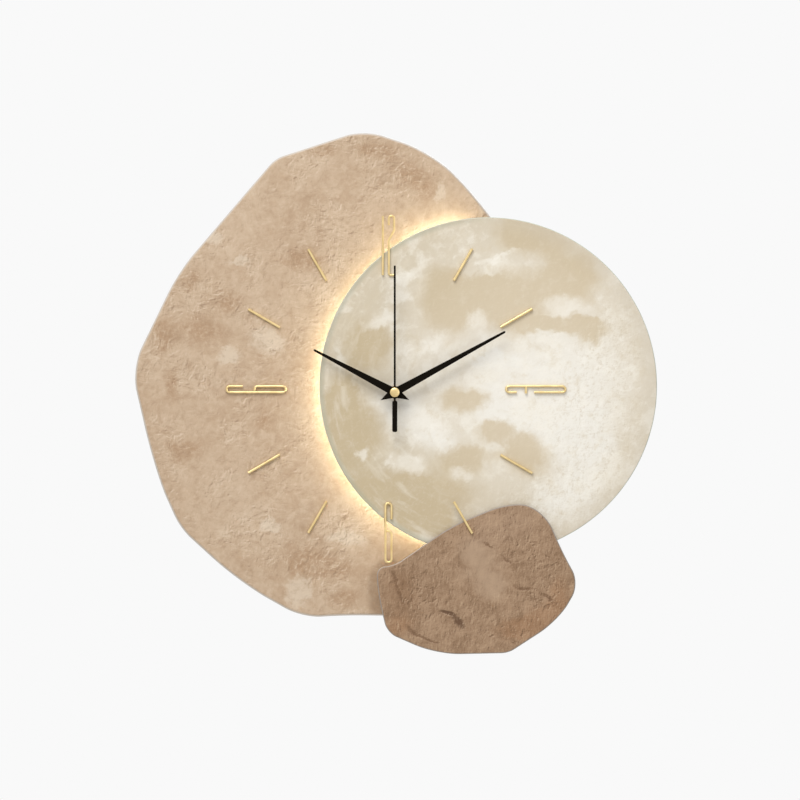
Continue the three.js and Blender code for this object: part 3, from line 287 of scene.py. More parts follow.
def faces_of(graph):
    """Two masks of a board: 1 on its printed front, and 1 on its bare back; both 0 on its sides."""
    depthwards = facing(graph, "Y")
    return step(depthwards, -SIDEWAYS, -SQUARE), step(depthwards, SIDEWAYS, SQUARE)


def fibreboard(place):
    """The bare back of a pressed board: short fibres in two browns."""
    fibres = noise(stretched(place, (0.4, 1, 1), 30), 1.6, 5.0, 0.7)
    return mix(step(fibres, 0.36, 0.64), (160, 126, 90), (190, 157, 118))


finishes = {}


def finish(slot):
    """A new finish: its empty graph, and the place on the dial of what it covers."""
    material = bpy.data.materials.new(slot)
    material.use_nodes = True
    finishes[slot] = material
    graph = blank(material.node_tree)
    return graph, dial_place(graph)


print("a face is full from", SQUARE)

# %% [markdown]
# ## Studio
# The photograph was cut out on near white, so the world is that white where the camera or a reflection
# meets it, and a weaker plain grey as light. A brighter world could do without lamps, but would leave no
# shadows. So one large soft lamp stands up to the left, because the pale rims are on that side, and
# weaker ones fill the right and the back. Together they light a surface at about the level at which its
# paint was written. A pale floor lies below the picture.

# %% World
BACKDROP = paint(249, 249, 249)
FILL_STRENGTH = 0.38
world = bpy.data.worlds.new("studio")
bpy.context.scene.world = world
world.use_nodes = True
sky = blank(world.node_tree)
seen = sky.node("LightPath", {}, {}, "Is Camera Ray")
shiny = sky.node("LightPath", {}, {}, "Is Glossy Ray")
through = sky.node("LightPath", {}, {}, "Is Transmission Ray")
backdrop = sky.node("Background", {}, {"Color": BACKDROP, "Strength": 1.0})
fill_light = sky.node("Background", {}, {"Color": (1, 1, 1, 1), "Strength": FILL_STRENGTH})
shown = sky.math("MINIMUM", seen + shiny + through, 1.0)
sky.node("OutputWorld", {}, {"Surface": sky.node("MixShader", {}, {0: shown, 1: fill_light, 2: backdrop})})
print("world:", len(sky.tree.nodes), "nodes")

# %% Lamps
LAMPS = {  # where each stands in metres, its width in metres and its power in watts
    "lamp_key": ((-0.7, -2.05, 2.1), 1.8, 77),
    "lamp_fill": ((1.8, -2.4, -0.3), 1.6, 9),
    "lamp_back": ((0.9, 2.4, 1.0), 1.6, 22),
}
for name, (place, size, power) in LAMPS.items():
    lamp_data = bpy.data.lights.new(name, "AREA")
    lamp_data.size = size
    lamp_data.energy = power
    lamp = placed(name, lamp_data)
    lamp.location = place
    lamp.rotation_euler = (VIEW_CENTRE - Vector(place)).to_track_quat("-Z", "Y").to_euler()
print("lamps:", ", ".join(LAMPS))

# %% Floor
FLOOR_DROP = 720  # below the hanging point
FLOOR_HALF = 2000
floor_mesh = bpy.data.meshes.new("floor")
bm = bmesh.new()
bmesh.ops.create_grid(bm, x_segments=1, y_segments=1, size=FLOOR_HALF * MM)
bmesh.ops.translate(bm, verts=bm.verts, vec=(0, 0, -FLOOR_DROP * MM))
bm.to_mesh(floor_mesh)
bm.free()
floor = placed("floor", floor_mesh)
graph, place = finish("floor_paint")
colour = mix(noise(place, 40), (236, 235, 233), (242, 241, 239))
surface(graph, colour, 0.8)
floor_mesh.materials.append(finishes["floor_paint"])
print("floor: %d mm below the hook" % FLOOR_DROP)

# %% [markdown]
# ## Making pieces
# Every new piece is drawn as a bmesh, then made an object at the origin with its place in its mesh, so
# that patterns on object coordinates fall where the dial says. One function gives it its finish and the
# body that it moves with, and hides the CAD node that it stands for. Weighted normals keep wide faces
# flat beside small round edges.

# %% From bmesh to piece
SMOOTH_ANGLE = math.radians(40)


def piece(name, bm, slot, node, body="clock_body"):
    mesh = bpy.data.meshes.new(name)
    bm.to_mesh(mesh)
    bm.free()
    mesh.polygons.foreach_set("use_smooth", [True] * len(mesh.polygons))
    mesh.set_sharp_from_angle(angle=SMOOTH_ANGLE)
    mesh.materials.append(finishes[slot])
    made = placed(name, mesh)
    normals = made.modifiers.new("flat faces", "WEIGHTED_NORMAL")
    normals.keep_sharp = True
    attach(made, body)
    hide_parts(node)
    print("%s: %d faces" % (name, len(mesh.polygons)))


print("edges above %.0f degrees stay sharp" % math.degrees(SMOOTH_ANGLE))

# %% [markdown]
# ## Stone print
# The big board carries a print of pinkish beige plaster: broad clouds, browner and paler patches, trowel
# strokes and a fine grain. A picture of a wall could be stuck on, but noise at those scales can be tuned
# stroke by stroke and has no edges. The print shows its plaster lit from the upper left, so one height
# gives both the printed light and shade and the real relief. The way the surface faces tells the print
# from the cream lacquer of the sides and the bare fibreboard of the back.

# %% Stone patches and height
PALE_PATCHES = (  # middle, half width, half height and turn of each
    (44, 194, 11, 13), (-94, -192, 21, 22), (-48, -142, 34, 10, 8), (-123, 50, 26, 20), (-160, 36, 18, 12),
    (-176, 150, 16, 12), (-150, 128, 16, 9), (-118, -128, 16, 12),
)
BROWN_PATCHES = (
    (-187, 60, 44, 26), (-203, -55, 28, 22), (-163, 89, 30, 16), (-127, -31, 16, 26), (-81, -161, 46, 24),
    (20, 205, 48, 22, 30), (-90, 130, 34, 18), (-215, 8, 14, 30), (-20, 232, 30, 14), (-195, 108, 14, 18),
    (-60, -172, 44, 14), (-224, 54, 16, 24), (-68, 232, 22, 11), (-50, -199, 24, 13),
)
PEBBLE_SHADOW_SPOTS = ((-16, -193, 14, 38), (-4, -167, 14, 10))  # where a shadow of the pebble is painted on the stone


def plaster_height(place):
    pushed = bent(bent(place, 60, 60), 18, 12)
    lumps = noise(pushed, 13, 4.0, 0.66)
    strokes = noise(stretched(pushed, (0.3, 1, 1), -12), 3.4, 3.0, 0.62)
    combing = noise(stretched(pushed, (1, 1, 0.3), 10), 3.4, 2.0, 0.6)
    nicks = noise(stretched(pushed, (0.35, 1, 1), 24), 3.4, 1.0)
    return lumps + strokes * 0.3 + combing * 0.2 - step(nicks, 0.62, 0.74) * 0.1


print(len(PALE_PATCHES), "pale and", len(BROWN_PATCHES), "brown patches")

# %% Stone finish
graph, place = finish("stone_print")
printed, bare = faces_of(graph)
ragged = bent(bent(place, 30, 26), 7, 9)
cloud = step(noise(place, 80, 5.0, 0.6), 0.36, 0.64)
mottle = noise(place, 16, 6.0, 0.7, 0.4)
swept = bent(bent(place, 60, 60), 16, 12)
streaks = noise(stretched(swept, (0.32, 1, 1), -8), 4.5, 4.0, 0.62)
blots = noise(bent(place, 8, 6), 7, 3.0, 0.6)
worked = 0.4 + step(noise(place, 42, 3.0), 0.42, 0.62) * 0.6
rake = raked(place, plaster_height, reach=1.1) * worked
stipple = noise(place, 2.6, 4.0, 0.7)
pale = step(spots(ragged, PALE_PATCHES) + (blots - 0.5) * 0.5, 0.2, 0.6)
brown = step(spots(ragged, BROWN_PATCHES) + (blots - 0.5) * 0.8, 0.05, 0.85)
# Painted shadow: the stone is darkened beside the pebble's left edge, as if the pebble shaded it.
pebble_shadow = step(spots(place, PEBBLE_SHADOW_SPOTS), 0.1, 0.6)
plaster = layered(
    mix(cloud, (184, 158, 131), (194, 170, 144)),
    (brown * step(stipple, 0.2, 0.6) * 0.85, (165, 133, 102)),
    (pale * 0.5, (220, 206, 186)),
    (step(mottle, 0.5, 0.74) * 0.45, (213, 193, 169)),
    (step(mottle, 0.5, 0.26) * 0.5, (166, 138, 110)),
    (step(blots, 0.48, 0.7) * 0.3, (209, 189, 164)),
    (step(blots, 0.48, 0.28) * 0.35, (163, 135, 106)),
    (step(streaks, 0.5, 0.75) * worked * 0.3, (216, 197, 172)),
    (step(streaks, 0.5, 0.25) * worked * 0.4, (152, 124, 96)),
    (step(rake, 0.0, 0.22) * 0.48, (228, 211, 189)),
    (step(rake, 0.0, -0.22) * 0.57, (128, 100, 75)),
    (pebble_shadow * 0.4, (128, 102, 76)),
)
colour = layered((206, 196, 184), (printed, plaster), (bare, fibreboard(place)))
relief = (mottle + plaster_height(place)) * printed
roughness = 0.34 + printed * (0.38 + mottle * 0.16)
surface(graph, colour, roughness, relief, depth=0.12)

# %% [markdown]
# ## Stone board
# The outline is a many-sided stone with soft corners. It could be traced point by point, but a designer
# would set out its fifteen corners and round each one. So here: one face, a vertex bevel at each corner,
# a square window for the movement and a slot for the lamp lead, a thickness, and a small round on the
# rim.

# %% Outlines with round corners
CORNER_SHARE = 0.49  # most of a side that the round of one corner takes
ARC_PERCENT = 90  # a round arc of this share of the reach lies on the CAD's softer curve
CORNER_STEPS = 14


def towards(corner, other, reach):
    return corner.lerp(other, min(reach / (other - corner).length, CORNER_SHARE))


def rounded_outline(bm, corners, depth):
    points = [Vector((x, y)) for x, y, _ in corners]
    loop = []
    for index, (_, _, reach) in enumerate(corners):
        corner = points[index]
        following = points[(index + 1) % len(points)]
        soft = (towards(corner, points[index - 1], reach), corner, towards(corner, following, reach))
        loop += [bm.verts.new(on_dial(*point, depth)) for point in soft]
    bm.faces.new(loop)
    for tip in loop[1::3]:
        bmesh.ops.bevel(
            bm, geom=[tip], offset=ARC_PERCENT, offset_type="PERCENT", affect="VERTICES",
            segments=CORNER_STEPS, profile=0.5, material=-1,
        )
    bmesh.ops.delete(bm, geom=bm.faces[:], context="FACES_ONLY")


print("a round corner takes", CORNER_STEPS, "steps")

# %% Plates with round rims
RIM_STEPS = 4
RIM_ANGLE = math.radians(60)
SAME_PLANE = 0.01  # radians


def only(items, kind):
    return [item for item in items if isinstance(item, kind)]


def filled(bm, normal=OUT):
    bmesh.ops.triangle_fill(bm, edges=bm.edges[:], use_beauty=True, normal=normal)
    bmesh.ops.dissolve_limit(bm, angle_limit=SAME_PLANE, verts=[], edges=bm.edges[:])


def thickened(bm, thick, rim):
    made = bmesh.ops.extrude_face_region(bm, geom=bm.faces[:])["geom"]
    bmesh.ops.translate(bm, verts=only(made, bmesh.types.BMVert), vec=(0, -thick * MM, 0))
    bmesh.ops.recalc_face_normals(bm, faces=bm.faces[:])
    edges = [edge for edge in bm.edges if edge.calc_face_angle(0) > RIM_ANGLE]
    bmesh.ops.bevel(
        bm, geom=edges, offset=rim * MM, affect="EDGES", segments=RIM_STEPS, profile=0.5, material=-1,
        clamp_overlap=False,
    )


def plate(bm, node, done, rim, slot, body="clock_body"):
    """Fills the outlines on a plate's back, thickens them up to its front and makes the piece."""
    back, front = depth_of(node)
    filled(bm)
    thickened(bm, front - back, rim)
    piece("%s_%s" % (node, done), bm, slot, node, body)


print("a round rim takes", RIM_STEPS, "steps")

# %% Stone board
STONE_RIM = 3
STONE_CORNERS = (  # x, y, and how far its round reaches along the sides
    (-29.6, 253, 21), (-115, 225.2, 9), (-208.1, 116.5, 25), (-253.8, 23, 25), (-230.2, -78.4, 57),
    (-206.3, -131.2, 15), (-149.6, -182.8, 43), (-89.1, -217.1, 21), (-47.8, -214.5, 19), (55, -215.7, 29),
    (106, -142, 57), (152, -7, 67), (131, 113, 48), (83.5, 182.5, 35), (37, 230.9, 35),
)
HALF_WINDOW, WINDOW_ROUND = 30, 1
LEAD_X, LEAD_TOP, LEAD_SLOT, LEAD_CLEAR = 84.4, 153.9, 6, 2.7  # the slot is for bending the lead in


def opening(bm, left, right, low, high, reach, depth):
    corners = ((left, low), (right, low), (right, high), (left, high))
    rounded_outline(bm, [(*corner, reach) for corner in corners], depth)


stone_back, _ = depth_of("stone_board")
bm = bmesh.new()
rounded_outline(bm, STONE_CORNERS, stone_back)
opening(bm, -HALF_WINDOW, HALF_WINDOW, -HALF_WINDOW, HALF_WINDOW, WINDOW_ROUND, stone_back)
slot_low, slot_high = LEAD_TOP - LEAD_SLOT - LEAD_CLEAR, LEAD_TOP + LEAD_CLEAR
opening(bm, LEAD_X - LEAD_CLEAR, LEAD_X + LEAD_CLEAR, slot_low, slot_high, LEAD_CLEAR, stone_back)
plate(bm, "stone_board", "printed", STONE_RIM, "stone_print")

# %% [markdown]
# ## Moon print
# The moon is a printed disc: ivory highlands, beige plains of old lava with ragged shores, a few bright
# ray craters and a fine speckle. Any photograph of the full moon shows the same plains, so they are set
# out here as soft ellipses, pushed about by noise until their shores look right. The sides of the disc
# are clear greenish acrylic, and its back is milky.

# %% Moon patches and height
MOON_X, MOON_Y, MOON_RADIUS = 89.6, 6, 162
PLAINS = (
    (52, 88, 43, 46), (111, 89, 52, 40), (167, 112, 44, 38), (127, 151, 50, 27), (184, 59, 22, 20),
    (154, 68, 42, 12), (-26, 46, 31, 39), (-44, -38, 42, 60), (-27, -99, 26, 20), (21, -95, 84, 36),
    (123, -61, 31, 29), (96, -39, 26, 13), (68, -63, 34, 18), (66, -10, 32, 18), (88, 103, 26, 16),
    (-52, -2, 20, 30), (30, -122, 36, 18),
)
BRIGHT = (
    (161, 87, 30, 16), (96, 131, 34, 5, -12), (77, 70, 18, 12), (14, -72, 30, 13, 20), (64, -76, 18, 11),
    (-30, -55, 7, 8), (4, 92, 16, 10), (-15, 72, 24, 10, -25), (36, 48, 30, 10, -30),
    (30, -30, 24, 22), (10, 110, 26, 10, -30),
)
FULL_LIGHT = (
    (152, 8, 105, 84), (112, -22, 60, 40), (182, -56, 44, 52), (160, -106, 46, 38), (38, -46, 34, 22),
    (4, -18, 44, 36), (102, 34, 28, 14),
)
SPECKLED = ((200, -30, 76, 100), (150, -110, 70, 50), (210, 60, 40, 60))
LIT_SIDE = (130, 22, 270, 270)
SWIRL = 34  # millimetres of streak for a radian round the middle


def crater_height(place):
    return noise(bent(place, 9, 5), 7, 3.0, 0.62)


print(len(PLAINS), "plains and", len(BRIGHT), "bright spots")

# %% Moon finish
graph, place = finish("moon_print")
printed, bare = faces_of(graph)
ragged = bent(bent(bent(place, 55, 34), 20, 20), 7, 7)
wash = noise(bent(place, 30, 34), 32, 5.0, 0.62)
veil = noise(bent(place, 11, 12), 13, 4.0, 0.62)
shore = step(spots(ragged, PLAINS) + (wash - 0.5) * 0.7 + (veil - 0.5) * 0.5, 0.06, 0.6)
rays = step(spots(ragged, BRIGHT) + (veil - 0.5) * 0.8, 0.06, 0.8)
lit = step(spots(ragged, FULL_LIGHT), 0.05, 0.9)
speckled = step(spots(ragged, SPECKLED), 0.05, 0.7)
# How strongly the craters' painted highlight and shade show, most where the disc is speckled.
raked_share = speckled * 0.22 + 0.08
rake = raked(place, crater_height, reach=0.9)
fleck = noise(place, 4.2, 4.0, 0.7)
from_middle = shifted(place, (-MOON_X, 0, -MOON_Y))
across, up = part_of(from_middle, "X"), part_of(from_middle, "Z")
radius = (across * across + up * up) ** 0.5
swirl = graph.node("CombineXYZ", {}, {"X": graph.math("ARCTAN2", up, across) * SWIRL, "Z": radius})
limb = 1 - spot(place, *LIT_SIDE)
wisps = step(noise(bent(swirl, 14, 10), 9, 4.0, 0.58), 0.48, 0.74) * step(limb, 0.42, 0.7)
# Painted shade at the rim: a thin darker band on the left and a wider grey one on the right.
edge_shade = step(radius, MOON_RADIUS - 7, MOON_RADIUS - 1) * step(across, 20, -60)
right_rim_shade = step(radius, MOON_RADIUS - 22, MOON_RADIUS) * step(across, -40, 60)
plain = mix(step(limb, 0.2, 0.66), (204, 188, 160), (188, 170, 137))
ivory = layered(
    mix(step(limb, 0.12, 0.72), (224, 216, 201), (200, 187, 163)),
    (lit * 0.75, (235, 232, 224)),
    (step(wash, 0.46, 0.68) * 0.6, (238, 233, 221)),
    (shore * 0.9, plain),
    (rays * 0.6, (238, 233, 222)),
    (wisps * 0.45, (228, 220, 204)),
    (step(veil, 0.52, 0.75) * (0.4 - shore * 0.32), (243, 239, 230)),
    (step(veil, 0.48, 0.25) * 0.4, (204, 189, 160)),
    (step(fleck, 0.5, 0.75) * (speckled * 0.45 + 0.1), (194, 179, 152)),
    (step(rake, 0.0, 0.2) * raked_share, (246, 243, 235)),
    (step(rake, 0.0, -0.2) * raked_share, (184, 169, 142)),
    (edge_shade * 0.6, (166, 164, 142)),
    (right_rim_shade * 0.38, (199, 190, 174)),
)
milk = mix(wash, (218, 213, 201), (230, 226, 216))
colour = layered((196, 202, 186), (printed, ivory), (bare, milk))
relief = (fleck + wash) * printed
surface(graph, colour, 0.5 + fleck * 0.2, relief, depth=0.03)

# %% [markdown]
# ## Moon disc
# The disc is a round plate with a hole for the movement's threaded bush, which doesn't lie at its middle.
# A boolean could drill it, but a second ring of edges inside the filled outline gives the hole straight
# away.

# %% Moon disc
MOON_SIDES = 192
MOON_RIM = 1.2
BUSH_HOLE, BUSH_SIDES = 4.3, 32


def ring(bm, x, y, depth, radius, sides):
    turn_to_front = Matrix.Translation(on_dial(x, y, depth)) @ FACE_FRONT
    bmesh.ops.create_circle(bm, segments=sides, radius=radius * MM, matrix=turn_to_front)


moon_back, _ = depth_of("moon_disc")
bm = bmesh.new()
ring(bm, MOON_X, MOON_Y, moon_back, MOON_RADIUS, MOON_SIDES)
ring(bm, 0, 0, moon_back, BUSH_HOLE, BUSH_SIDES)
plate(bm, "moon_disc", "printed", MOON_RIM, "moon_print")

# %% [markdown]
# ## Pebble print
# The small board in front shows brown sandstone: a smooth paler middle, pitted rough patches towards the
# edges, creases at the left and the right, and a chip below the middle. One sheet of noise would look the
# same all over. So noise gives only the grain, soft spots say where it is smooth, pitted or rusty, and
# thin bent spots draw the creases and the chip.

# %% Pebble patches and height
SMOOTH_MIDDLE = ((84, -170, 34, 32), (96, -188, 22, 18), (76, -150, 24, 18))
PALE_TOP = ((112, -124, 44, 26), (88, -134, 34, 20))
PITTED = (
    (143, -196, 38, 28, 20), (121, -150, 36, 24), (150, -168, 24, 28), (24, -196, 34, 44),
    (110, -232, 44, 16),
)
CREASES = (
    (-0.5, -178.3, 15, 4.2, 76), (6.5, -197, 16, 4.2, 63), (18.2, -229.4, 17, 4, 39), (34, -238, 16, 3, 24),
    (89.3, -147, 11, 3, 29), (108, -161, 13, 2.6, 40), (124, -187.6, 16, 3.4, 6),
    (146.3, -196.4, 17, 4.4, 36),
)
CHIP = ((49.8, -211, 10, 2.6, 16), (60.8, -219.4, 14, 5.4, 50))
DARK_LEFT = (4, -192, 24, 36)
RUST = ((4, -222, 22, 16), (138, -219, 40, 18, -30), (158, -196, 14, 26), (114, -226, 26, 14))


def pits_in(pushed):
    pitted = step(spots(pushed, PITTED), 0.1, 0.7)
    return step(noise(pushed, 5, 3.0, 0.6), 0.5, 0.66) * pitted


def chip_in(place):
    return step(spots(bent(place, 6, 3), CHIP), 0.1, 0.7)


def sandstone_height(place):
    pushed = bent(place, 9, 7)
    lumps = noise(pushed, 10, 5.0, 0.7)
    wrinkles = noise(stretched(pushed, (1, 1, 0.28), -14), 2.6, 3.0, 0.65)
    smooth = step(spots(pushed, SMOOTH_MIDDLE) + (lumps - 0.5) * 1.4, 0.1, 1.1)
    creases = step(spots(pushed, CREASES) + (wrinkles - 0.5) * 1.2, 0.2, 0.8)
    rough = lumps * 0.8 + wrinkles * 0.6 - pits_in(pushed) * 0.25
    return rough * (1 - smooth * 0.55) - creases * 0.16 - chip_in(place) * 0.4


print(len(CREASES), "creases and", len(PITTED), "pitted spots")

# %% Pebble finish
graph, place = finish("pebble_print")
printed, bare = faces_of(graph)
ragged = bent(bent(place, 22, 14), 6, 8)
pushed = bent(place, 9, 7)
rake = raked(place, sandstone_height, reach=0.8)
mottle = noise(place, 13, 6.0, 0.7, 0.5)
grain = noise(place, 1.8, 3.0, 0.7)
smooth = step(spots(ragged, SMOOTH_MIDDLE) + (mottle - 0.5) * 1.2, 0.05, 1.1)
crease = step(spots(pushed, CREASES) + (grain - 0.5) * 1.9, 0.25, 0.95)
rust = step(spots(ragged, RUST) + (mottle - 0.5), 0.05, 0.8)
pale = step(spots(ragged, PALE_TOP), 0.05, 0.9)
dark = step(spot(ragged, *DARK_LEFT), 0.05, 0.8)
sandstone = layered(
    mix(step(mottle, 0.32, 0.68), (136, 107, 80), (166, 137, 109)),
    (smooth * 0.65, (177, 151, 125)),
    (pale * 0.3, (176, 148, 122)),
    (rust * 0.36, (154, 110, 72)),
    (dark * 0.45, (124, 90, 59)),
    (step(grain, 0.5, 0.75) * 0.25, (186, 158, 129)),
    (pits_in(pushed) * 0.3, (112, 82, 56)),
    (crease * 0.75, (104, 73, 47)),
    (chip_in(place) * 0.8, (84, 55, 32)),
    (step(rake, 0.0, 0.22) * 0.43, (206, 179, 149)),
    (step(rake, 0.0, -0.22) * 0.65, (84, 59, 38)),
)
colour = layered((158, 148, 140), (printed, sandstone), (bare, fibreboard(place)))
relief = (mottle + sandstone_height(place)) * printed
surface(graph, colour, 0.7 + mottle * 0.2, relief, depth=0.15)

# %% [markdown]
# ## Pebble board
# The pebble could be a rounded lump, but the real one is a flat board like the others. So its twelve
# corners are rounded as the stone's are, and the same function fills the outline, thickens it and rounds
# its rim.

# %% Pebble board
PEBBLE_CORNERS = (
    (-17.7, -168, 9), (0.4, -165.5, 8), (55, -127.8, 19), (115, -103, 38), (145, -116.5, 17),
    (160.4, -152.3, 15), (177.3, -183.4, 16), (157, -218.8, 25), (109, -249.9, 7), (40.5, -251.4, 25),
    (-7.6, -230.5, 11), (-16, -193.5, 17),
)
PEBBLE_RIM = 1.8
pebble_back, _ = depth_of("pebble_board")
bm = bmesh.new()
rounded_outline(bm, PEBBLE_CORNERS, pebble_back)
plate(bm, "pebble_board", "printed", PEBBLE_RIM, "pebble_print")

# %% [markdown]
# ## Gold and black
# The markers and the cap are pale gold metal with a fine brushing, and the hands are sheet metal under
# black lacquer. Flat colours would do from afar. But a metal looks like what it reflects, so its
# roughness matters more than its colour: brushing is long thin noise, and the lacquer gets the faint
# orange peel of sprayed paint.

# %% Gold and black finishes
graph, place = finish("gold")
brushed = noise(stretched(place, (0.08, 1, 1), 35), 0.5, 3.0, 0.6)
tarnish = noise(place, 9, 3.0)
colour = mix(step(tarnish, 0.35, 0.7), (226, 203, 150), (212, 187, 134))
surface(graph, colour, 0.3 + brushed * 0.16, brushed, 0.01, Metallic=1.0)

graph, place = finish("hand_black")
peel = noise(place, 0.9, 2.0)
wear = step(noise(place, 6, 4.0, 0.65), 0.55, 0.75)
colour = mix(wear, (15, 11, 6), (24, 19, 12))
surface(graph, colour, 0.6 + wear * 0.12, peel, 0.01, **{"Specular IOR Level": 0.04})

# %% [markdown]
# ## Markers
# Eight of the twelve markers are slim bars, and 12, 3, 6 and 9 are tall thin numbers bent from strips. A
# font wouldn't have these shapes. A strip is a section carried along a path: straight runs are extruded
# and corners are spun. So a number is drawn as its corner points and one bending radius, and its front
# edges are round because the section's are.

# %% Carrying a section along a path
TURN_STEPS = 6
SHORTEST = MM / 100  # a straight run below this is left out


def carried(bm, face, points, radius):
    place = points[0]
    for index, corner in enumerate(points[1:], 1):
        ahead = (corner - points[index - 1]).normalized()
        last = index + 1 == len(points)
        onward = ahead if last else (points[index + 1] - corner).normalized()
        angle = 0 if last else ahead.angle(onward)
        run = corner - ahead * radius * math.tan(angle / 2) - place
        if run.length > SHORTEST:
            made = bmesh.ops.extrude_face_region(bm, geom=[face])["geom"]
            face = only(made, bmesh.types.BMFace)[0]
            bmesh.ops.translate(bm, verts=face.verts[:], vec=run)
            place = place + run
        if angle > 0:
            inwards = (onward - ahead * ahead.dot(onward)).normalized()
            centre = place + inwards * radius
            steps = max(2, round(TURN_STEPS * angle / (math.pi / 2)))
            axis = ahead.cross(onward)
            made = bmesh.ops.spin(bm, geom=[face], cent=centre, axis=axis, angle=angle, steps=steps)
            face = only(made["geom_last"], bmesh.types.BMFace)[0]
            place = Matrix.Rotation(angle, 3, axis) @ (place - centre) + centre
    bmesh.ops.recalc_face_normals(bm, faces=bm.faces[:])


print("a quarter bend takes", TURN_STEPS, "steps")

# %% Strips
MARKER_RIM = 0.8


def strip(bm, points, width, thick, bend):
    """A flat strip with rounded front edges along points that lie on its back."""
    out = Vector(OUT) * MM
    aside = (points[1] - points[0]).normalized().cross(out)
    side = width / 2
    half = [(side, 0)]
    for index in range(RIM_STEPS):
        turn = math.radians(90) * index / (RIM_STEPS - 1)
        half.append((side - MARKER_RIM * (1 - math.cos(turn)), thick - MARKER_RIM * (1 - math.sin(turn))))
    section = [*half, *((-across, up) for across, up in reversed(half))]
    verts = [bm.verts.new(points[0] + aside * across + out * up) for across, up in section]
    carried(bm, bm.faces.new(verts), points, bend * MM)


print("a strip's front edges are round by", MARKER_RIM, "mm")

# %% Hour bars
RING_X, RING_Y = -4.6, 1.3
BAR_INNER, BAR_OUTER = 122.5, 157.5
BAR_WIDTH = 2.4
BAR_ROUND = BAR_WIDTH * 0.45
HOUR_TURN = 30
UPRIGHT = 0.99  # share of an edge's length that runs from back to front


def round_ends(bm, reach):
    """Rounds the upright edges at the two ends of a strip."""
    upright = []
    for edge in bm.edges:
        run = (edge.verts[0].co - edge.verts[1].co).normalized()
        if abs(run.y) > UPRIGHT and edge.calc_face_angle(0) > RIM_ANGLE:
            upright.append(edge)
    bmesh.ops.bevel(
        bm, geom=upright, offset=reach * MM, affect="EDGES", segments=RIM_STEPS, profile=0.5, material=-1,
        clamp_overlap=True,
    )


for hour in (1, 2, 4, 5, 7, 8, 10, 11):
    node = "marker_%d" % hour
    back, front = depth_of(node)
    angle = math.radians(90 - HOUR_TURN * hour)
    x, y = math.cos(angle), math.sin(angle)
    ends = [on_dial(RING_X + x * reach, RING_Y + y * reach, back) for reach in (BAR_INNER, BAR_OUTER)]
    bm = bmesh.new()
    strip(bm, ends, BAR_WIDTH, front - back, 0)
    round_ends(bm, BAR_ROUND)
    piece("hour_bar_%d" % hour, bm, "gold", node)

# %% Lines of the tall numbers
TALL, SLIM, STROKE = 59, 8, 2.2
SIDE = (SLIM - STROKE) / 2
END = (TALL - STROKE) / 2
STUB, LOOP = 15.5, 30
THREE_STUB, THREE_BAR = 10, END - 19
TWO_SIDE, TWO_STUB, TWO_BOWL, TWO_SLOPE, TWO_BEND = 2.5, 9, 13.5, 9.5, 2.4

ONE = [((0, -END), (0, END))]
TWO = [(
    (-TWO_SIDE, END - TWO_STUB), (-TWO_SIDE, END), (TWO_SIDE, END), (TWO_SIDE, END - TWO_BOWL),
    (-TWO_SIDE, END - TWO_BOWL - TWO_SLOPE), (-TWO_SIDE, -END), (TWO_SIDE, -END),
)]
THREE = [
    (
        (-SIDE, END - THREE_STUB), (-SIDE, END), (SIDE, END), (SIDE, -END), (-SIDE, -END),
        (-SIDE, LOOP - END),
    ),
    ((SIDE - STROKE / 3, THREE_BAR), (-SIDE - STROKE / 2, THREE_BAR)),
]
SIX = [(
    (SIDE, END - STUB), (SIDE, END), (-SIDE, END), (-SIDE, -END), (SIDE, -END), (SIDE, LOOP - END),
    (STROKE / 2 - SIDE, LOOP - END),
)]
print("the 2 has", len(TWO[0]) - 2, "corners")


# %% Tall numbers
def number(name, lines, middle, turn, bend, shift, node):
    back, front = depth_of(node)
    turned_round = Matrix.Rotation(math.radians(turn), 2)
    bm = bmesh.new()
    for line in lines:
        places = [middle + turned_round @ Vector((x + shift, y)) for x, y in line]
        strip(bm, [on_dial(*point, back) for point in places], STROKE, front - back, bend)
    piece(name, bm, "gold", node)


TWELVE_GAP = 5.8
TWELVE_TOP, THREE_END, SIX_FOOT, NINE_END = 169, 169.3, -164.2, -158.3
ONE_X = -TWELVE_GAP / 2 - TWO_SIDE
UPRIGHT_LEFT, LYING_RISE = 1.5, 1.7
UPRIGHT_X = RING_X - UPRIGHT_LEFT
LYING_Y = RING_Y + LYING_RISE
TWO_X = ONE_X + TWELVE_GAP + TWO_SIDE
twelve_at = Vector((UPRIGHT_X, RING_Y + TWELVE_TOP - TALL / 2))
three_at = Vector((RING_X + THREE_END - TALL / 2, LYING_Y))
six_at = Vector((UPRIGHT_X, SIX_FOOT + TALL / 2))
nine_at = Vector((RING_X + NINE_END + TALL / 2, LYING_Y))
number("numeral_one", ONE, twelve_at, 0, 0, ONE_X, "marker_12_one")
number("numeral_two", TWO, twelve_at, 0, TWO_BEND, TWO_X, "marker_12_two")
number("numeral_three", THREE, three_at, 90, SIDE, 0, "marker_3")
number("numeral_six", SIX, six_at, 0, SIDE, 0, "marker_6")
number("numeral_nine", SIX, nine_at, 90, SIDE, 0, "marker_9")

# %% [markdown]
# ## Hands
# The hands are cut from thin sheet: a long blade that tapers to its tip, a round hub, and a short tail.
# Three shapes could be laid over one another, but faces in one plane flicker. So half the outline is
# walked from the end of the tail, along the hub and out along the blade, and then mirrored.

# %% Outline of a hand
HUB_STEPS = 16
HAND_RIM = 0.1
BORE_SIDES = 24


def crossing(inside, outside, radius):
    """Where the way from a point inside a circle to one outside it meets the circle."""
    way = outside - inside
    half = inside.dot(way) / way.length_squared
    room = (radius * radius - inside.length_squared) / way.length_squared
    return inside + way * (math.sqrt(half * half + room) - half)


def along_hub(first, last):
    """Points on a circle round the axis from the first point to the last one."""
    turn = first.angle_signed(last)
    return [Matrix.Rotation(-turn * index / HUB_STEPS, 2) @ first for index in range(HUB_STEPS + 1)]


def loop_of(bm, places):
    """A closed line of edges."""
    verts = [bm.verts.new(place) for place in places]
    return [bm.edges.new(ends) for ends in zip(verts, verts[1:] + verts[:1])]


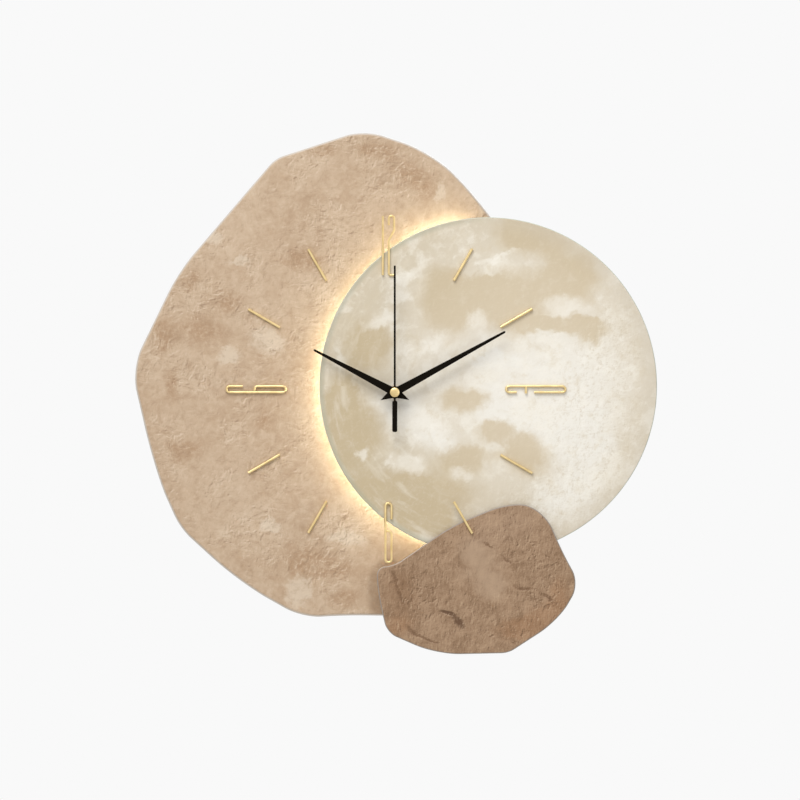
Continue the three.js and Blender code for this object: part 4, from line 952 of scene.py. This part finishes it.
def hand(node, right, bore, turn, body):
    """Mirrors the right half of an outline, drawn from the bottom up, and turns it as the clock shows."""
    left = [Vector((-point.x, point.y)) for point in reversed(right) if point.x > 0]
    back, _ = depth_of(node)
    turned_round = Matrix.Rotation(-math.radians(turn), 2)
    bm = bmesh.new()
    loop_of(bm, [on_dial(*(turned_round @ point), back) for point in right + left])
    ring(bm, 0, 0, back, bore, BORE_SIDES)
    plate(bm, node, "lacquered", HAND_RIM, "hand_black", body)


print("half a hub takes", HUB_STEPS, "steps")

# %% Hour and minute hands
HUB = 6
TAIL_TIP, TAIL_SHOULDER = Vector((0, -15.6)), Vector((4.3, -3))
BLADE_ROOT = Vector((3.7, 6))
POINT_HALF = 1.05
enter = crossing(TAIL_SHOULDER, TAIL_TIP, HUB)
leave = crossing(TAIL_SHOULDER, BLADE_ROOT, HUB)
HANDS = {  # length, bore, degrees past twelve and body
    "hour_hand": (88, 2.65, 297.7, "hour_arbor"),
    "minute_hand": (121, 1.75, 61.2, "minute_arbor"),
}
for node, (length, bore, turn, body) in HANDS.items():
    tip = [BLADE_ROOT, Vector((POINT_HALF, length - POINT_HALF)), Vector((0, length))]
    hand(node, [TAIL_TIP, *along_hub(enter, leave), *tip], bore, turn, body)

# %% Second hand
SECOND_HALF, SECOND_LENGTH = 0.95, 121.3
SECOND_HUB, SECOND_BORE = 4, 0.85
CORNER_CUT = 0.3  # how far in from each side the middle of a round corner lies, as a share of its reach
POISE_HALF, POISE_TOP, POISE_END, POISE_ROUND = 2.4, -8, -38, 1.3
poise_cut = POISE_ROUND * CORNER_CUT
poise = (
    (0, POISE_END), (POISE_HALF - POISE_ROUND, POISE_END), (POISE_HALF - poise_cut, POISE_END + poise_cut),
    (POISE_HALF, POISE_END + POISE_ROUND), (POISE_HALF, POISE_TOP - POISE_ROUND),
    (POISE_HALF - poise_cut, POISE_TOP - poise_cut), (SECOND_HALF, POISE_TOP),
)
neck = Vector((SECOND_HALF, -math.sqrt(SECOND_HUB ** 2 - SECOND_HALF ** 2)))
hub = along_hub(neck, Vector((neck.x, -neck.y)))
tip = Vector((SECOND_HALF, SECOND_LENGTH)), Vector((0, SECOND_LENGTH))
outline = [*(Vector(point) for point in poise), *hub, *tip]
hand("second_hand", outline, SECOND_BORE, 0, "second_arbor")

# %% [markdown]
# ## Cap
# A small gold button covers the end of the hands' arbor. It could be a squashed ball, but a real one is
# turned on a lathe: a flat back, a short wall and a low crown. So its half outline is spun once round the
# axis.

# %% Cap
LATHE_STEPS = 48
SAME_POINT = MM / 1000


def turned(profile, start, axis, aside):
    """Spins (radius, distance along the axis) points round the axis from its start."""
    bm = bmesh.new()
    axis, aside = Vector(axis), Vector(aside)
    verts = [bm.verts.new(start + (aside * radius + axis * along) * MM) for radius, along in profile]
    edges = [bm.edges.new(pair) for pair in zip(verts, verts[1:])]
    bmesh.ops.spin(
        bm, geom=verts + edges, cent=start, axis=axis, angle=math.tau, steps=LATHE_STEPS, use_merge=True,
    )
    bmesh.ops.remove_doubles(bm, verts=bm.verts[:], dist=SAME_POINT)
    bmesh.ops.recalc_face_normals(bm, faces=bm.faces[:])
    return bm


CAP_RADIUS, CAP_WALL = 4.6, 1.0
CROWN_STEP = 10  # degrees
cap_back, cap_front = depth_of("second_hand_cap")
crown_high = cap_front - cap_back - CAP_WALL
crown = [
    (CAP_RADIUS * math.cos(angle), CAP_WALL + crown_high * math.sin(angle))
    for angle in map(math.radians, range(0, 90, CROWN_STEP))
]
profile = [(0, 0), (CAP_RADIUS, 0), *crown, (0, CAP_WALL + crown_high)]
cap = turned(profile, on_dial(0, 0, cap_back), OUT, RIGHT)
piece("cap_turned", cap, "gold", "second_hand_cap", "second_arbor")

# %% [markdown]
# ## Light behind the moon
# A strip of warm lamps runs round the edge of the carrier behind the moon and washes over the stone. A
# painted ring of yellow would look right from the front alone. Here the strip itself gives the light, and
# the gap between the boards shapes the glow. The photographed glow is weaker at the upper left, so a soft
# spot dims the strip there.

# %% Light strip finish
DIM_STRETCH = (-50, 118, 130, 100)
STRIP_STRENGTH = 15.0
graph, place = finish("light_strip")
phosphor = noise(place, 2, 2.0)
dimming = step(spot(place, *DIM_STRETCH), 0.1, 0.8)
colour = mix(phosphor, (250, 236, 200), (244, 226, 184))
glow = mix(dimming, (246, 253, 240), (198, 205, 193))
surface(graph, colour, 0.5, **{"Emission Color": glow, "Emission Strength": STRIP_STRENGTH})

# %% [markdown]
# ## Lead of the light
# A white lead runs from the battery box up the back of the stone, bends through its slot and reaches the
# end of the strip. A curve object with a round bevel would do. The markers' way of carrying a section
# along a path works for a round section too, so the same function draws it.

# %% Lead finish and lead
graph, place = finish("white_cable")
scuff = step(noise(place, 5, 4.0, 0.65), 0.5, 0.72)
colour = mix(scuff, (238, 236, 230), (222, 219, 210))
surface(graph, colour, 0.42 + scuff * 0.2, noise(place, 0.8), 0.02)

LEAD_RADIUS, LEAD_SIDES, LEAD_BEND = 1.5, 16, 6
LEAD_BACK, LEAD_FRONT = 17.5, 33.3
LEAD_FOOT = 19.8
STRIP_END_X, STRIP_END_Y = 71.8, 153.53
lead_path = [
    on_dial(LEAD_X, LEAD_FOOT, LEAD_BACK), on_dial(LEAD_X, LEAD_TOP, LEAD_BACK),
    on_dial(LEAD_X, LEAD_TOP, LEAD_FRONT), on_dial(STRIP_END_X, STRIP_END_Y, LEAD_FRONT),
]
bm = bmesh.new()
foot = Matrix.Translation(lead_path[0])
bmesh.ops.create_circle(bm, cap_ends=True, segments=LEAD_SIDES, radius=LEAD_RADIUS * MM, matrix=foot)
carried(bm, next(iter(bm.faces)), lead_path, LEAD_BEND * MM)
piece("lead_of_light", bm, "white_cable", "light_lead")

# %% [markdown]
# ## Cells
# The clock runs on one AA cell and the light on three. A cell is a steel can in a printed sleeve that is
# shrunk over its edges, with a small button at the plus end. It could be three cylinders, but one half
# outline, spun as the cap's is, gives the crimped edges too. The way the surface faces makes the ends
# metal and the sleeve plastic.

# %% Cell finish and cells
graph, place = finish("cell_wrap")
metal = step(abs(facing(graph, "X")), 0.55, 0.8)
print_grain = noise(place, 0.7, 2.0)
scuff = step(noise(stretched(place, (1, 1, 0.2)), 1.4, 4.0, 0.7), 0.6, 0.75)
sleeve = mix(scuff * 0.5, (44, 78, 84), (112, 134, 136))
colour = mix(metal, sleeve, (205, 207, 208))
roughness = 0.3 + scuff * 0.25 + print_grain * 0.06
surface(graph, colour, roughness, scuff, 0.02, Metallic=metal)

CELL_LONG, CELL_RADIUS = 49.2, 7.1
CRIMP, CRIMP_IN, CRIMP_DIP, CRIMP_LIP = 0.7, 1.6, 0.4, 0.1
CRIMP_CUT = CRIMP * CORNER_CUT
BUTTON_RADIUS, BUTTON_HIGH, BUTTON_ROUND = 2.75, 1.3, 0.4
FOOT_RADIUS = 4.6
CELL_PROFILE = [
    (0, 0), (FOOT_RADIUS, 0), (FOOT_RADIUS + CRIMP_DIP, CRIMP_DIP), (CELL_RADIUS - CRIMP_IN, CRIMP_DIP),
    (CELL_RADIUS - CRIMP, CRIMP_LIP), (CELL_RADIUS - CRIMP_CUT, CRIMP_CUT), (CELL_RADIUS, CRIMP),
    (CELL_RADIUS, CELL_LONG - CRIMP), (CELL_RADIUS - CRIMP_CUT, CELL_LONG - CRIMP_CUT),
    (CELL_RADIUS - CRIMP, CELL_LONG), (CELL_RADIUS - CRIMP_IN, CELL_LONG - CRIMP_DIP),
    (BUTTON_RADIUS + CRIMP_DIP, CELL_LONG - CRIMP_DIP), (BUTTON_RADIUS, CELL_LONG - CRIMP_LIP),
    (BUTTON_RADIUS, CELL_LONG + BUTTON_HIGH - BUTTON_ROUND),
    (BUTTON_RADIUS - BUTTON_ROUND, CELL_LONG + BUTTON_HIGH), (0, CELL_LONG + BUTTON_HIGH),
]
for name, way in (("clock_cell", 1), ("light_cell_1", 1), ("light_cell_2", -1), ("light_cell_3", 1)):
    low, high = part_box(name)
    start = (low + high) / 2
    start.x = low.x if way > 0 else high.x
    cell = turned(CELL_PROFILE, start, (way, 0, 0), UP)
    piece(name + "_sleeved", cell, "cell_wrap", name)

# %% [markdown]
# ## Metals and plastics
# Behind the boards is plain hardware: zinc plated steel, brass, enamelled copper, moulded plastic, a
# rubber ring and a circuit board. Each could be one flat colour, but light shows how a thing was made:
# plating is brushed, mouldings have a fine spark texture, rubber is dull and windings have ridges.

# %% Hardware finishes
graph, place = finish("steel")
brushed = noise(stretched(place, (0.06, 1, 1)), 0.6, 3.0, 0.6)
bloom = noise(place, 7, 4.0, 0.6)
colour = mix(step(bloom, 0.35, 0.7), (206, 208, 210), (186, 189, 190))
surface(graph, colour, 0.28 + brushed * 0.18, brushed, 0.01, Metallic=1.0)

graph, place = finish("brass")
turning = noise(stretched(place, (1, 0.05, 1)), 0.4, 2.0)
colour = mix(noise(place, 4, 3.0), (214, 176, 96), (190, 150, 76))
surface(graph, colour, 0.24 + turning * 0.14, turning, 0.01, Metallic=1.0)

graph, place = finish("copper_wire")
ridges = graph.node("TexWave", {"bands_direction": "Z"}, {"Vector": place, "Scale": 1.2, "Distortion": 0.3})
# The colour is dark in the grooves between turns and pale on their crests: painted shade and highlight
# beside the real bump.
colour = mix(ridges, (122, 58, 30), (206, 122, 74))
surface(graph, colour, 0.3 + ridges * 0.1, ridges, 0.1, Metallic=1.0)

MOULDED = {  # two paints and the least roughness
    "black_plastic": ((21, 21, 22), (31, 31, 32), 0.5),
    "white_plastic": ((228, 226, 218), (238, 236, 229), 0.36),
    "rubber": ((27, 26, 25), (40, 38, 36), 0.8),
}
for slot, (dark, light, gloss) in MOULDED.items():
    graph, place = finish(slot)
    spark = noise(place, 0.45, 2.0, 0.6)
    flow = noise(stretched(place, (0.5, 1, 1)), 16, 3.0)
    colour = mix(step(flow, 0.35, 0.7), dark, light)
    surface(graph, colour, gloss + spark * 0.15, spark, 0.03)

graph, place = finish("circuit_board")
laid = stretched(place, (1, 1, 1), 90)
tracks = graph.node("TexBrick", {}, {"Vector": laid, "Scale": 0.4}, "Fac")
colour = mix(tracks, (28, 84, 52), (64, 128, 78))
surface(graph, colour, 0.32 + noise(place, 1) * 0.1, tracks, 0.03)

# %% [markdown]
# ## Pine
# The battens and blocks that carry the boards are planed pine: long rings of late wood, a fine fibre, now
# and then a knot. A wave texture could give rings, but a cut along the trunk shows them as long uneven
# bands. Noise stretched twenty times along the grain gives those, and pushing it aside round a few spots
# makes the knots.

# %% Pine finish
KNOTS = ((-62, 146, 16, 8), (40, 139, 14, 8), (-20, -181, 15, 7), (-96, -172, 12, 7))
KNOT_PUSH = 9  # millimetres that a knot pushes the grain aside
graph, place = finish("pine")
knots = spots(place, KNOTS)
push = graph.node("CombineXYZ", {}, {"Z": step(knots, 0, 1) * KNOT_PUSH})
rings = noise(stretched(shifted(place, push), (0.045, 0.7, 1)), 4.2, 3.0, 0.5, 0.3)
late = step(abs(rings - 0.5), 0.075, 0.01)
fibre = noise(stretched(place, (0.03, 1, 1)), 0.6, 3.0, 0.6)
wood = layered(
    mix(late * 0.65, (226, 194, 146), (186, 138, 88)),
    (step(fibre, 0.45, 0.7) * 0.35, (204, 164, 112)),
    (step(knots, 0.35, 0.7) * 0.8, (122, 78, 44)),
)
surface(graph, wood, 0.58 + fibre * 0.2, fibre + late, 0.08)

# %% [markdown]
# ## Hanger plate and its screws
# A pressed steel plate with a keyhole slot drops over a screw in the wall, and two countersunk screws
# hold it flush in the top batten. Slot and holes could be cut with booleans. They are drawn as outlines
# and filled between, in millimetres so that the fill works on comfortable numbers, then brought to the
# wall. The screws' cross recess is made in the same way and sunk.

# %% Hanger plate
PLATE_WIDE, PLATE_HIGH, PLATE_ROUND, PLATE_THICK, PLATE_RIM = 50, 26, 3, 1.5, 0.2
SLOT_RADIUS, ENTRY_RADIUS, ENTRY_DROP = 2.75, 5.5, 10
SCREW_X, SINK_RADIUS, SINK_SHARE = 19, 3.3, 0.58
ARC_STEPS = 24


def arc(x, y, radius, start, end):
    """Points round a middle, from one angle to another in degrees."""
    turns = [math.radians(start + (end - start) * index / ARC_STEPS) for index in range(ARC_STEPS + 1)]
    return [(x + radius * math.cos(turn), y + radius * math.sin(turn), 0) for turn in turns]


def circle(x, y, radius):
    return arc(x, y, radius, 0, 360)[:-1]


plate_middle = -ENTRY_DROP / 2
half_wide, half_high = PLATE_WIDE / 2 - PLATE_ROUND, PLATE_HIGH / 2 - PLATE_ROUND
outline = []
for turn, (x, y) in enumerate(((1, 1), (-1, 1), (-1, -1), (1, -1))):
    outline += arc(x * half_wide, plate_middle + y * half_high, PLATE_ROUND, 90 * turn, 90 * turn + 90)
meeting = math.degrees(math.acos(SLOT_RADIUS / ENTRY_RADIUS))
keyhole = arc(0, 0, SLOT_RADIUS, 0, 180)
keyhole += arc(0, -ENTRY_DROP, ENTRY_RADIUS, 180 - meeting, 360 + meeting)
bm = bmesh.new()
loop_of(bm, outline)
loop_of(bm, keyhole)
for side in (-SCREW_X, SCREW_X):
    loop_of(bm, circle(side, plate_middle, SINK_RADIUS))
filled(bm, UP)
bmesh.ops.transform(bm, matrix=FACE_FRONT @ Matrix.Scale(MM, 4), verts=bm.verts)
thickened(bm, PLATE_THICK, PLATE_RIM)
for side in (-SCREW_X, SCREW_X):
    for vert in bm.verts:
        away = Vector((vert.co.x - side * MM, 0, vert.co.z - plate_middle * MM))
        if away.length < (SINK_RADIUS + 2 * PLATE_RIM) * MM and vert.co.y < -PLATE_THICK * MM / 2:
            vert.co -= away * (1 - SINK_SHARE)
piece("keyhole_hanger_pressed", bm, "steel", "keyhole_hanger")

# %% Screws
HEAD_RADIUS, HEAD_HIGH, HEAD_ROUND = 3, 1.5, 0.15
SHANK_RADIUS, TIP_RADIUS, TIP_LONG = 1.6, 0.15, 2
CROSS_LONG, CROSS_WIDE, CROSS_DEEP, CROSS_TAPER = 1.6, 0.36, 0.9, 0.8
ARM = ((CROSS_LONG, -CROSS_WIDE), (CROSS_LONG, CROSS_WIDE), (CROSS_WIDE, CROSS_WIDE))
CROSS = [
    (along * x - aside * y, along * y + aside * x, 0)
    for x, y in ((1, 0), (0, 1), (-1, 0), (0, -1)) for along, aside in ARM
]


def grown(bm, edges, share, height):
    """Extrudes a ring of edges to another height, drawn in or out round the z axis."""
    made = bmesh.ops.extrude_edge_only(bm, edges=edges)["geom"]
    for vert in only(made, bmesh.types.BMVert):
        vert.co = Vector((vert.co.x * share, vert.co.y * share, height))
    return only(made, bmesh.types.BMEdge)


for name in ("hanger_screw_left", "hanger_screw_right"):
    low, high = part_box(name)
    tip = low.y / MM
    bm = bmesh.new()
    radius = HEAD_RADIUS - HEAD_ROUND
    rim = loop_of(bm, circle(0, 0, radius))
    cross = loop_of(bm, CROSS)
    bmesh.ops.triangle_fill(bm, edges=rim + cross, use_beauty=True, normal=UP)
    bmesh.ops.contextual_create(bm, geom=grown(bm, cross, CROSS_TAPER, -CROSS_DEEP))
    head = (HEAD_RADIUS, -HEAD_ROUND), (SHANK_RADIUS, -HEAD_HIGH)
    shank = (SHANK_RADIUS, tip + TIP_LONG), (TIP_RADIUS, tip)
    for wider, height in head + shank:
        rim = grown(bm, rim, wider / radius, height)
        radius = wider
    bmesh.ops.contextual_create(bm, geom=rim)
    seat = Vector(((low.x + high.x) / 2, 0, (low.z + high.z) / 2))
    into_wood = Matrix.Translation(seat) @ FACE_WALL @ Matrix.Scale(MM, 4)
    bmesh.ops.transform(bm, matrix=into_wood, verts=bm.verts)
    bmesh.ops.recalc_face_normals(bm, faces=bm.faces[:])
    piece(name + "_crossed", bm, "steel", name)

# %% [markdown]
# ## Finishing the frame's own pieces
# What is left is shown by the CAD pieces themselves. They need their finishes, and edges that catch the
# light: no planed or moulded edge is perfectly sharp. A weld and a narrow bevel could be applied, but as
# modifiers they leave the frame's meshes untouched.

# %% Finishes and soft edges on the frame
SOFT_EDGES = {
    "top_batten": 0.8, "bottom_batten": 0.8, "moon_block": 0.8, "pebble_block": 0.8, "light_carrier": 0.4,
    "battery_box": 0.3, "battery_box_lid": 0.25, "movement_case": 0.4, "movement_front": 0.25,
    "light_switch": 0.25, "setting_knob": 0.2, "clamp_nut": 0.2, "clamp_washer": 0.1,
}
EDGE_ANGLE = math.radians(35)
EDGE_STEPS = 2
WELD_REACH = MM / 100
for part in frame["record"]["subparts"]:
    thing = frame["nodes"][part["node"]]
    thing.data.materials.clear()
    thing.data.materials.append(finishes[part["material_slot"]])
for node, width in SOFT_EDGES.items():
    thing = frame["nodes"][node]
    weld = thing.modifiers.new("weld", "WELD")
    weld.merge_threshold = WELD_REACH
    bevel = thing.modifiers.new("soft edges", "BEVEL")
    bevel.width = width * MM
    bevel.segments = EDGE_STEPS
    bevel.limit_method = "ANGLE"
    bevel.angle_limit = EDGE_ANGLE
    bevel.harden_normals = True
print("soft edges on", len(SOFT_EDGES), "pieces")
